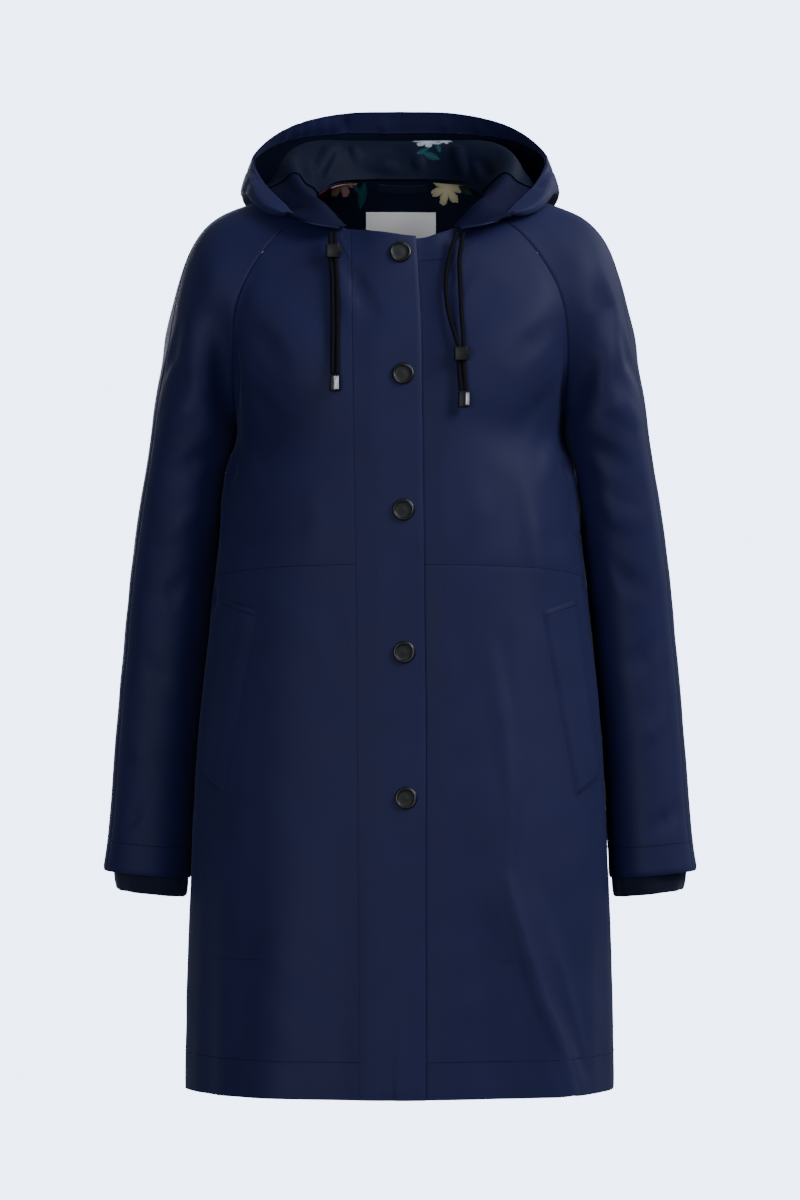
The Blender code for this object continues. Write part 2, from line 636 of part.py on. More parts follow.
# ---------------------------------------------------------------- grids
def smooth_line(points, span):
    """A smooth line through all the points, with span steps between two of them."""
    points = np.array(points, float)
    gaps = np.linalg.norm(np.diff(points, axis=0), axis=1)[:, None].clip(1e-6)
    slopes = np.diff(points, axis=0) / gaps
    tangents = np.vstack([slopes[:1], (slopes[:-1] * gaps[1:] + slopes[1:] * gaps[:-1])
                          / (gaps[1:] + gaps[:-1]), slopes[-1:]])
    line = []
    for k in range(len(gaps)):
        for t in np.arange(span) / span:
            line.append((2 * t**3 - 3 * t**2 + 1) * points[k] + (t**3 - 2 * t**2 + t) * gaps[k]
                        * tangents[k] + (3 * t**2 - 2 * t**3) * points[k + 1]
                        + (t**3 - t**2) * gaps[k] * tangents[k + 1])
    line.append(points[-1])
    return np.array(line)


def grid_skin(grid, tag_of, closed=False):
    """A skin from rows of points; tag_of gives a face's tag from its row and column."""
    rows, columns = len(grid), len(grid[0])
    points = np.array(grid, float).reshape(-1, 3)
    faces, tags = [], []
    for r in range(rows - 1):
        for c in range(columns if closed else columns - 1):
            d = (c + 1) % columns
            faces.append((r * columns + c, (r + 1) * columns + c,
                          (r + 1) * columns + d, r * columns + d))
            tags.append(tag_of(r, c))
    return Skin(points, point_normals(points, faces), faces, tags)


# ---------------------------------------------------------------- hood
def neckline(skin):
    """The left half of the coat's neckline, from the hood's corner to the middle of the back."""
    uses = {}
    for face in skin.faces:
        for a, b in zip(face, face[1:] + face[:1]):
            uses[frozenset((a, b))] = uses.get(frozenset((a, b)), 0) + 1
    border = {v for edge, count in uses.items() if count == 1 for v in edge}
    top = [skin.points[v] for v in border if skin.points[v][2] > YOKE[0].front[1] - 5]
    half = sorted((p for p in top if p[0] > -1e-3), key=lambda p: np.arctan2(p[1] - 5, p[0]))
    return beyond_x(np.array(half), HOOD_CORNER_X)


def hood_skin(skin):
    line = neckline(skin)
    shares = smooth_line([(station.share, 0, 0) for station in HOOD], HOOD_SPAN)[:, 0]
    seam = np.array(shares_along(line, shares)) + (0, 0, SEAM_GAP)
    profiles = []
    for station in HOOD:
        start = shares_along(line, [station.share])[0] + (0, 0, SEAM_GAP)
        profiles.append(smooth_line([start, *station[1:]], HOOD_SPAN))
    profiles = np.array(profiles)
    half = np.stack([smooth_line(profiles[:, k], HOOD_SPAN) for k in range(profiles.shape[1])], 1)
    half[:, 0] = seam
    half[-1, :, 0] = 0
    grid = np.vstack([half, mirrored(half[-2::-1])])
    stations = len(HOOD) - 1

    def tag_of(row, column):
        from_corner = min(row, len(grid) - 2 - row) // HOOD_SPAN
        if from_corner >= stations - MIDDLE_STATIONS:
            side = "middle"
        else:
            side = "left" if row < len(grid) // 2 else "right"
        return side, from_corner, column

    return grid_skin(grid, tag_of)


def hood(skin, shell, lining):
    """Three panels of shell cloth, a facing band inside the rim, and the lining below it."""
    shape = hood_skin(skin)
    last = HOOD_SPAN * (len(HoodStation._fields) - 1) - 1
    for side in ("right", "middle", "left"):
        points, faces = wall(shape, lambda tag: tag[0] == side, 0, -WALL)
        solid("hood_" + side, points, faces, shell)
    outer, inner = -WALL - SEAM_GAP, -WALL - SEAM_GAP - LINING_WALL
    points, faces = wall(shape, lambda tag: tag[1] >= LINED_STATION and tag[2] == last, outer, inner)
    solid("hood_facing", points, faces, shell)
    points, faces = wall(shape, lambda tag: tag[1] >= LINED_STATION and tag[2] < last, outer, inner)
    solid("hood_lining", points, faces, lining)


# ---------------------------------------------------------------- cuffs
def storm_cuffs(finish):
    angles = 180 - 360 * np.arange(STORM_CUFF_COLUMNS) / STORM_CUFF_COLUMNS
    left = np.array([sleeve_ring(ring, angles) for ring in STORM_CUFF])
    for side, grid in (("left", left), ("right", mirrored(left)[:, ::-1])):
        shape = grid_skin(grid, lambda row, column: 0, closed=True)
        points, faces = wall(shape, lambda tag: True, 0, -WALL)
        solid("storm_cuff_" + side, points, faces, finish)


# ---------------------------------------------------------------- what lies on the panels
def on_skin(tree, x, z, start_y, towards):
    """The skin's point at (x, z), met by a line from start_y forward or backward."""
    place, normal, _, _ = tree.ray_cast(Vector((x, start_y, z)), Vector((0, towards, 0)))
    return np.array(place), np.array(normal)


def patch(corners, columns, rows, place):
    """Rows of points between four (x, z) corners, each brought onto the skin by place(x, z)."""
    top_in, top_out, low_in, low_out = np.array(corners, float)
    grid = []
    for v in np.linspace(0, 1, rows):
        a, b = top_in + (low_in - top_in) * v, top_out + (low_out - top_out) * v
        grid.append([place(*(a + (b - a) * u)) for u in np.linspace(0, 1, columns)])
    return np.array(grid)


def pocket_welts(tree, finish):
    for side, sign in (("left", 1), ("right", -1)):
        grid = patch(WELT_CORNERS, 7, 12, lambda x, z: on_skin(tree, sign * x, z, IN_FRONT, 1)[0])
        shape = grid_skin(grid[:, ::sign], lambda row, column: 0)
        points, faces = wall(shape, lambda tag: True, WELT_LIFT + WELT_WALL, WELT_LIFT, 0)
        solid("pocket_welt_" + side, points, faces, finish)


def behind_lining(tree, name, centre_x, top, size, thickness, finish):
    """A flat sewn-in piece inside the back of the neck."""
    right, left = centre_x + size[0] / 2, centre_x - size[0] / 2
    corners = ((right, top), (left, top), (right, top - size[1]), (left, top - size[1]))
    grid = patch(corners, 7, 3, lambda x, z: on_skin(tree, x, z, 0, 1)[0])
    shape = grid_skin(grid, lambda row, column: 0)
    points, faces = wall(shape, lambda tag: True, -BEHIND_LINING, -BEHIND_LINING - thickness, 0)
    solid(name, points, faces, finish)


def snaps(tree, finish):
    turned = bmesh.new()
    ring = [turned.verts.new((r * MM, 0, h * MM)) for r, h in SNAP_PROFILE]
    edges = [turned.edges.new(pair) for pair in zip(ring, ring[1:])]
    bmesh.ops.spin(turned, geom=ring + edges, axis=(0, 0, 1), cent=(0, 0, 0), dvec=(0, 0, 0),
                   angle=2 * np.pi, steps=SNAP_SIDES, use_merge=True)
    bmesh.ops.remove_doubles(turned, verts=turned.verts, dist=0.00001)
    bmesh.ops.recalc_face_normals(turned, faces=turned.faces)
    mesh = bpy.data.meshes.new("snap")
    turned.to_mesh(mesh)
    turned.free()
    mesh.materials.append(finish)
    mesh.shade_smooth()
    for number, (x, z) in enumerate(SNAP_PLACES, 1):
        place, normal = on_skin(tree, x, z, IN_FRONT, 1)
        made = bpy.data.objects.new(f"snap_{number}", mesh)
        made.location = Vector(place + normal * (PLACKET_LIFT + PLACKET_WALL + SEAM_GAP)) * MM
        made.rotation_euler = Vector(normal).to_track_quat("Z", "Y").to_euler()
        bpy.context.collection.objects.link(made)


# ---------------------------------------------------------------- draw cords
def cord(name, route, finish):
    line = smooth_line(route, CORD_SPAN)
    length = np.linalg.norm(np.diff(line, axis=0), axis=1).sum()
    points = shares_along(line, np.linspace(0, 1, int(round(length / CORD_STEP)) + 1))
    curve = bpy.data.curves.new(name, "CURVE")
    curve.dimensions = "3D"
    curve.bevel_depth = CORD_DIAMETER / 2 * MM
    curve.bevel_resolution = 2
    curve.render_resolution_u = 0
    curve.use_fill_caps = True
    spline = curve.splines.new("POLY")
    spline.points.add(len(points) - 1)
    for point, place in zip(spline.points, points):
        point.co = (*(place * MM), 1)
    curve.materials.append(finish)
    bpy.context.collection.objects.link(bpy.data.objects.new(name, curve))


def chamfered(width, depth, chamfer):
    """The corners of a chamfered rectangle, anticlockwise from above."""
    x, y = width / 2, depth / 2
    return [(x, -y + chamfer), (x, y - chamfer), (x - chamfer, y), (-x + chamfer, y),
            (-x, y - chamfer), (-x, -y + chamfer), (-x + chamfer, -y), (x - chamfer, -y)]


def prism_rings(outlines, centre, heights):
    """Rings of points, one outline at each height over the centre."""
    return [[(centre[0] + x, centre[1] + y, centre[2] + h) for x, y in outline]
            for outline, h in zip(outlines, heights)]


def cord_lock(name, centre, size, slot, finish):
    """A block with a slot right through it, which both strands pass."""
    outer = chamfered(size[0], size[1], LOCK_CHAMFER)
    inner = chamfered(slot[0], slot[1], LOCK_CHAMFER)
    half = size[2] / 2
    rings = prism_rings((outer, outer, inner, inner), centre, (-half, half, half, -half))
    sides = len(outer)
    faces = [(r * sides + k, r * sides + (k + 1) % sides, (r + 1) % 4 * sides + (k + 1) % sides,
              (r + 1) % 4 * sides + k) for r in range(4) for k in range(sides)]
    solid(name, [p for ring in rings for p in ring], faces, finish)


def cord_end(name, centre, size, finish):
    """A tapered stopper that closes off the two strands."""
    foot = chamfered(size[0], size[1], LOCK_CHAMFER)
    top = chamfered(size[0] * CORD_END_TOP, size[1] * CORD_END_TOP, LOCK_CHAMFER)
    rings = prism_rings((foot, top), centre, (-size[2] / 2, size[2] / 2))
    sides = len(foot)
    faces = [(k, (k + 1) % sides, sides + (k + 1) % sides, sides + k) for k in range(sides)]
    faces += [tuple(range(sides))[::-1], tuple(range(sides, 2 * sides))]
    solid(name, [p for ring in rings for p in ring], faces, finish)


def draw_cords(cord_finish, black):
    for name, route in CORD_ROUTES.items():
        cord(name, route, cord_finish)
    for name, (centre, size, slot) in LOCKS.items():
        cord_lock(name, centre, size, slot, black)
    for name, (centre, size) in CORD_ENDS.items():
        cord_end(name, centre, size, black)


def main():
    clear_scene()
    shell = material("shell_cloth", NAVY, 0.62)
    lining = material("lining_cloth", NAVY_LINING, 0.55)
    skin = folded(fitted_skin(coat_cage()))
    coat_panels(skin, shell)
    placket(skin, shell)
    neck_lining(skin, lining)
    hood(skin, shell, lining)
    storm_cuffs(material("storm_cuff_cloth", NAVY_LINING, 0.8))
    tree = BVHTree.FromPolygons([Vector(p) for p in skin.points], skin.faces)
    pocket_welts(tree, shell)
    behind_lining(tree, "label", LABEL_CENTRE_X, LABEL_TOP, LABEL_SIZE, LABEL_WALL,
                  material("label_cloth", LABEL_WHITE, 0.7))
    behind_lining(tree, "hanger_loop", LOOP_CENTRE_X, LOOP_TOP, LOOP_SIZE, LOOP_WALL, lining)
    snaps(tree, material("snap_metal", OLIVE_GREY, 0.35, 0.8))
    draw_cords(material("cord_braid", BLACK, 0.75), material("black_plastic", BLACK, 0.35))


main()
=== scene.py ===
"""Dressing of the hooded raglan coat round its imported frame.

Sizes are millimetres until a mesh is made. +X is the wearer's left, +Y is behind and +Z is up. The
coat's skin is built here from the same tables as its solids, at a finer step, and is given its
seams, stitching, creases and finish.
"""
from collections import namedtuple
from functools import lru_cache, partial

import bpy
import numpy as np
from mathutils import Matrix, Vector, noise
from mathutils.bvhtree import BVHTree


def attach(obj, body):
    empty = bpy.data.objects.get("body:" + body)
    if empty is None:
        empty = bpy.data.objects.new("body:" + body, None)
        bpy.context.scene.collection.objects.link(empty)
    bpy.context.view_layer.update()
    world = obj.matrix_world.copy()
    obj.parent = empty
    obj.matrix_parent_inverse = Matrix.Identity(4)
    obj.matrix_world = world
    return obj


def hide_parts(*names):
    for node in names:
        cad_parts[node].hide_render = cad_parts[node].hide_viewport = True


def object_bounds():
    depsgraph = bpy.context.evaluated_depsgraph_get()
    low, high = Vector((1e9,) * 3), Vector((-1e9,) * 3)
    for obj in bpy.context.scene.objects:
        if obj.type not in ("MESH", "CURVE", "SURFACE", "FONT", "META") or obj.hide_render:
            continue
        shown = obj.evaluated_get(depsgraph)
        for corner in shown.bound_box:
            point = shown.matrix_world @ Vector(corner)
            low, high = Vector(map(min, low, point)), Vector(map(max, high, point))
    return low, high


bl_info = {
    "name": "Hooded Raglan Coat",
    "version": (1, 0, 0),
    "blender": (4, 5, 0),
    "location": "3D View > Sidebar > Coat",
    "description": "Builds the cloth, seams, hood, cords, snaps and studio of a hooded raglan coat",
    "category": "Object",
}

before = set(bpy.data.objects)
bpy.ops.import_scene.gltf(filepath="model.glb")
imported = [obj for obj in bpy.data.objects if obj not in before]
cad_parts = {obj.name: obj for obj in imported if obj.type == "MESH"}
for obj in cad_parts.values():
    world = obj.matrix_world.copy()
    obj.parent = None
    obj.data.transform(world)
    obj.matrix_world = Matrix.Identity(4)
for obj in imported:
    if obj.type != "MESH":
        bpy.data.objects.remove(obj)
CAD_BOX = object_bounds()

MM = 0.001

# ---------------------------------------------------------------- cloth and gaps
WALL = 1.7            # bonded shell cloth with its backing
LINING_WALL = 1.0
SEAM_GAP = 0.3
SKIN_LEVEL = 4        # each face between two section points is halved this many times
FIT_ROUNDS = 6        # how often the cage is corrected so that the skin meets the section points
ARC_STEPS = 60        # steps of an arc between two section points before it is shared out
IN_FRONT = -500       # y from which a line is sent back to meet the skin
MITRE_LEAST = 0.55     # a wall's mitre is lengthened no more than this allows
PULL_LEAST = 0.8       # and a corner is drawn in no further than this allows
SEAM_DROP = (1.25, 0.3)   # how far the cloth rolls in at a seam, and one step in from it

# ---------------------------------------------------------------- yoke rings
# front, back: the ring's middle at the front and the back (y, z).
# seam, rear_seam: the raglan seams (x, y, z); over: the seam over the arm (x, y, z).
# to_seam, from_seam and their rear twins: the ring's direction as it reaches a raglan seam from the
# body and as it leaves it along the sleeve.
# pull, rear_pull: how full the sleeve's arcs are, as a share of their chords.
YokeRing = namedtuple("YokeRing", "front seam to_seam from_seam over pull "
                                  "back rear_seam to_rear_seam from_rear_seam rear_pull")
YOKE = [
    YokeRing((-88, -12), (76, -38, 15), (.45, .78, .44), (.30, .85, .43), (84, 2, 35), .36,
             (75, 55), (58, 58, 52), (.80, -.58, -.10), (.72, -.68, -.16), .36),
    YokeRing((-98, -42), (100, -54, 8), (.55, .65, .52), (.50, .66, .56), (122, -4, 32), .36,
             (88, 34), (84, 70, 42), (.86, -.45, .20), (.84, -.48, .16), .36),
    YokeRing((-107, -72), (124, -68, -11), (.62, .55, .56), (.60, .52, .61), (163, -10, 20), .37,
             (100, 7), (112, 80, 22), (.88, -.42, .20), (.86, -.40, .26), .37),
    YokeRing((-117, -102), (146, -78, -41), (.70, .48, .52), (.78, .28, .56), (191, -13, 4), .38,
             (110, -28), (136, 85, -10), (.88, -.42, .22), (.92, -.14, .38), .40),
    YokeRing((-126, -133), (160, -82, -73), (.70, .60, .36), (.92, -.05, .38), (210, -15, -24), .40,
             (117, -68), (152, 86, -50), (.78, -.58, .22), (.95, .10, .28), .44),
    YokeRing((-133, -163), (166, -74, -112), (.60, .78, .22), (.94, -.24, .22), (222, -17, -66), .44,
             (121, -112), (161, 80, -98), (.62, -.76, .16), (.92, .34, .20), .60),
    YokeRing((-137, -190), (165, -46, -162), (.25, .96, .12), (.72, -.68, .12), (231, -19, -118), .68,
             (122, -158), (163, 52, -154), (.25, -.96, .10), (.66, .74, .10), .98),
    YokeRing((-140, -214), (163, 4, -206), (0, 1, 0), (0, -1, 0), (241, -20, -170), .85,
             (122, -204), (163, 4, -206), (0, -1, 0), (0, 1, 0), 1.46),
]
BODY_PULL = .39        # how full the body's arcs are in the yoke, as a share of their chords
# degrees by which a ring still climbs towards the back at the seam over the arm
OVER_TURN_TOP = 3      # at the neck
OVER_TURN_ARM = 12     # at the underarm
NEXT_OVER = (247, -20, -215)   # where the seam over the arm goes below the yoke

# ---------------------------------------------------------------- body rings
# z at the sides, rise of the ring's middle at the front over its sides, half width, y where the body
# is widest, and y at the front and the back
BodyRing = namedtuple("BodyRing", "z front_rise half_width side_y front back")
BODY = [
    BodyRing(-240, -4, 171.0, -6, -142, 123),
    BodyRing(-290, 4, 177.0, -12, -146, 125),
    BodyRing(-350, 15, 184.6, -14, -149, 130),
    BodyRing(-415, 6, 191.2, -15, -153, 135),
    BodyRing(-500, 0, 200.2, -15, -158, 143),
    BodyRing(-610, 0, 206.4, -15, -166, 151),
    BodyRing(-730, 0, 211.2, -10, -173, 159),
    BodyRing(-856, 0, 213.8, -5, -180, 167),
]
HIP_RING = 2           # the ring that the front's hip seam follows
ROUNDNESS = 2.3        # 2 is an ellipse, more is squarer

# ---------------------------------------------------------------- sleeve rings
# the ring's height at its inner and outer side, its x there, and its y at the front and the back
SleeveRing = namedtuple("SleeveRing", "z_in z_out x_in x_out front back")
SLEEVE = [
    SleeveRing(-240, -212, 173.6, 251.6, -58, 86),
    SleeveRing(-288, -268, 178.0, 260.8, -51, 86),
    SleeveRing(-350, -338, 185.2, 270.6, -43, 83),
    SleeveRing(-430, -420, 193.0, 278.6, -37, 81),
    SleeveRing(-520, -511, 202.1, 286.5, -36, 77),
    SleeveRing(-600, -592, 207.0, 292.5, -38, 72),
    SleeveRing(-648, -640, 209.2, 298.8, -39, 70),
]
SLEEVE_ROUNDNESS = 2.15
SLEEVE_ANGLES = (180, 142, 105, 67, 30, -22, -75, -128)   # columns, from inside by the front
OVER_COLUMN = 4        # the column of the seam over the arm

# ---------------------------------------------------------------- columns round a ring
# Front columns lie between the placket and the raglan or side seam. Below the chest they follow the
# foot, crest and foot of the long fold in the skirt.
LEFT_SHARES = ((-230, .24, .46, .68, .88), (-350, .21, .38, .57, .84), (-450, .15, .29, .45, .78),
               (-640, .19, .32, .46, .74), (-730, .29, .42, .55, .78), (-856, .40, .527, .655, .83))
RIGHT_SHARES = ((-230, .24, .46, .68, .88), (-500, .26, .44, .62, .86), (-856, .30, .45, .60, .86))
BACK_SHARES = (0.28, 0.58, 0.85)
SLEEVE_SHARES = (0.25, 0.50, 0.75)
PLACKET_SEAM = ((-12, -48.0), (-360, -42.0), (-856, -38.5))      # (z, x) of the stitched side
PLACKET_EDGE = ((-12, 15.4), (-95, 20.6), (-500, 25.2), (-856, 24.4))   # (z, x) of the free edge
PLACKET_LIFT = 0.3
PLACKET_WALL = 1.7

# ---------------------------------------------------------------- the largest folds
# A fold is a line of points (x, y, z, half width, height); a height below nought is a trough.
FOLDS = [
    ((94, -160, -440, 34, 0), (98, -160, -560, 36, 3.5), (106, -160, -650, 38, 6),
     (139, -140, -735, 38, 7), (166, -126, -856, 40, 7)),                 # skirt, left front
    ((136, -120, -225, 26, 0), (140, -120, -300, 28, 3), (136, -125, -385, 28, 0)),
    ((-98, -160, -560, 42, 0), (-110, -160, -700, 44, 3), (-122, -150, -850, 46, 5)),
    ((180, -78, -38, 24, 0), (203, -66, -84, 24, -4.5), (188, -62, -135, 20, -5),
     (173, -52, -172, 18, -2)),                                           # sleeve front, left
    ((-187, -70, -46, 24, 0), (-186, -72, -90, 24, -4.5), (-174, -64, -140, 20, -5),
     (-168, -48, -176, 18, -2)),                                          # sleeve front, right
    ((200, 74, -60, 26, 0), (196, 76, -110, 24, -4), (176, 66, -165, 20, -3)),
    ((-200, 74, -60, 26, 0), (-196, 76, -110, 24, -4), (-176, 66, -165, 20, -3)),
    ((104, 150, -430, 42, 0), (112, 150, -620, 44, 4), (124, 158, -850, 46, 5)),
    ((-52, 150, -470, 42, 0), (-56, 156, -640, 44, 3), (-60, 164, -850, 46, 4)),
]
FOLD_DEPTH = 45        # a fold touches only skin this near to its line

# ---------------------------------------------------------------- storm cuffs inside the sleeves
STORM_CUFF = [
    SleeveRing(-596, -588, 211.4, 286.8, -33.6, 66.4),
    SleeveRing(-630, -622, 212.0, 286.6, -32.8, 64.4),
    SleeveRing(-657, -650, 212.2, 286.4, -32.0, 63.2),
    SleeveRing(-667, -660, 213.6, 284.2, -30.2, 61.4),
]

# ---------------------------------------------------------------- what lies on the panels
# Corners are (x, z) as seen from the front, in the order top inner, top outer, bottom inner, bottom
# outer. WELT_LIFT is counted outward from the skin, BEHIND_LINING inward from it.
WELT_CORNERS = ((139, -381), (173.5, -369), (172.5, -562), (197, -543.5))
WELT_LIFT = 1.5
WELT_WALL = 1.7
WELT_GRID = (20, 84)   # columns and rows
WELT_EDGES = (0.3, 0.1)   # where its outer and inner side lie over the skin at its long edges
WELT_EDGE_SHARE = 0.2  # share of its own roll-in that shows there
LABEL_CENTRE_X = 1.0
LABEL_SIZE = (71, 38)
LABEL_TOP = 25
LABEL_GRID = (36, 20)
LOOP_CENTRE_X = 3.5
LOOP_SIZE = (50, 7)
LOOP_TOP = 53.5
LOOP_GRID = (40, 7)
LINING_LEVELS = (-WALL - SEAM_GAP, -WALL - SEAM_GAP - LINING_WALL)
BEHIND_LINING = WALL + SEAM_GAP + LINING_WALL + SEAM_GAP
LABEL_WALL = 1.0
LOOP_WALL = 1.5

# ---------------------------------------------------------------- snaps
SNAP_PLACES = ((0, -28), (2.9, -149), (3.4, -282), (3.9, -421), (5.8, -563))     # (x, z)
SNAP_PROFILE = ((0, 0), (10.6, 0), (11.0, 0.8), (10.5, 2.2), (9.2, 2.9), (8.1, 2.5), (7.8, 1.6),
                (0, 1.6))            # (radius, height)

# ---------------------------------------------------------------- draw cords
CORD_DIAMETER = 4.4
CORD_SPAN = 8          # steps of the smooth line between two points of a route
CORD_ROUTES = {
    "cord_right_a": ((-68.5, -89.5, -8), (-68.6, -94.8, -14.5), (-68.6, -96.6, -20.5),
                     (-68.6, -96.8, -26.5), (-68.4, -97.3, -33), (-67.7, -100.2, -42),
                     (-66.8, -104.8, -54), (-66.3, -111, -72), (-66, -120.2, -100),
                     (-66.1, -129, -128), (-66.3, -134.5, -149)),
    "cord_right_b": ((-63.7, -89.5, -8), (-63.7, -94.8, -14.5), (-63.8, -96.6, -20.5),
                     (-63.8, -96.8, -26.5), (-63.6, -97.3, -33), (-62.9, -100.2, -42),
                     (-62, -104.8, -54), (-61.5, -111, -72), (-61.2, -120.2, -100),
                     (-61.3, -129, -128), (-61.5, -134.5, -149)),
    "cord_left_a": ((56, -89.5, -8), (52, -94, -20), (48.6, -97.8, -32), (45.2, -104.8, -52),
                    (45.4, -111.8, -72), (48.4, -119, -92), (54, -127.3, -111),
                    (57.1, -131.6, -122), (57.3, -132.4, -129), (57.4, -133, -136),
                    (58, -135.2, -146), (59.3, -138.2, -165)),
    "cord_left_b": ((62.5, -89.5, -8), (60.5, -94, -20), (58.6, -98.2, -33), (58.8, -105.6, -54),
                    (59.6, -112.4, -74), (60.6, -119.8, -94), (61.8, -127.8, -112),
                    (62.1, -131.6, -122), (62.1, -132.4, -129), (62.2, -133, -136),
                    (62.7, -135.2, -146), (64, -138.2, -165)),
}
# centre, size, and the slot's width and depth
LOCKS = {"cord_lock_right": ((-66.2, -96.7, -26.5), (14.0, 10.0, 13.5), (10.6, 6.6)),
         "cord_lock_left": ((59.7, -132.5, -129), (14.0, 10.0, 13.5), (10.6, 6.6))}
# centre and size; the foot is a little wider than the top
CORD_ENDS = {"cord_end_right": ((-63.9, -135.4, -157.8), (10.6, 7.0, 16.0)),
             "cord_end_left": ((61.7, -138.9, -173.8), (10.6, 7.0, 16.0))}
CORD_END_TOP = 0.88

# ---------------------------------------------------------------- hood
# One row for each station from the front corner to the middle of the back. share: where the station
# leaves the neckline, as a share of its length. From there the cloth rises to the roll, falls inside
# to the bag, turns at its low side, and climbs outside to the rim.
HoodStation = namedtuple("HoodStation", "share rise roll inner bag low outer rim")
HOOD = [
    HoodStation(.00, (55, -69, -1), (56, -72, -2), (57, -75, -2), (58, -78, -2), (59, -81, -3),
                (60, -84, -4), (60, -87, -5)),
    HoodStation(.14, (71, -60, 17), (77, -62, 22), (81, -67, 20), (85, -72, 15), (89, -77, 9),
                (90, -81, 5), (87, -84, 0)),
    HoodStation(.25, (83, -42, 28), (90, -47, 32), (97, -51, 25), (107, -54, 15), (127, -59, 12),
                (132, -55, 20), (115, -50, 25)),
    HoodStation(.42, (94, -8, 46), (106, -12, 54), (116, -9, 46), (129, -7, 40), (156, 2, 38),
                (152, 5, 51), (137, -10, 49)),
    HoodStation(.58, (92, 34, 68), (108, 36, 78), (124, 48, 58), (139, 66, 37), (156, 80, 29),
                (155, 70, 60), (148, 54, 80)),
    HoodStation(.75, (68, 66, 84), (86, 76, 92), (102, 102, 40), (98, 132, -40), (118, 150, -14),
                (128, 132, 60), (111, 104, 113)),
    HoodStation(.88, (38, 80, 86), (48, 98, 94), (56, 114, 4), (52, 140, -106), (66, 168, -56),
                (70, 160, 50), (58, 129, 127.5)),
    HoodStation(1.0, (0, 84, 86), (0, 103, 94), (0, 118, -10), (0, 143, -126), (0, 176, -66),
                (0, 170, 46), (0, 137, 130)),
]
NECK_MARGIN = 5           # the neckline is the skin's rim from this far below its front upward
NECK_MIDDLE_Y = 5         # its points are taken in turn round this place
HOOD_CORNER_X = 54        # where the hood's seam starts at each side of the front opening
MIDDLE_STATIONS = 1       # stations each side of the middle that the hood's middle panel covers
LINED_STATION = 3         # the lining starts at this station from each corner

# ---------------------------------------------------------------- panels
PANELS = ("front_upper_right", "front_upper_left", "front_lower_right", "front_lower_left", "back",
          "sleeve_front_right", "sleeve_front_left", "sleeve_back_right", "sleeve_back_left")
PLACKET_TAG = 20       # added to a front panel's number where the placket covers it
LINED_TAG = 40         # added to a back panel's number where the neck lining lies behind it
LINED_ROWS = 3         # yoke rows that the neck lining covers
BEHIND = [PANELS.index(name) for name in ("back", "sleeve_back_right", "sleeve_back_left")]

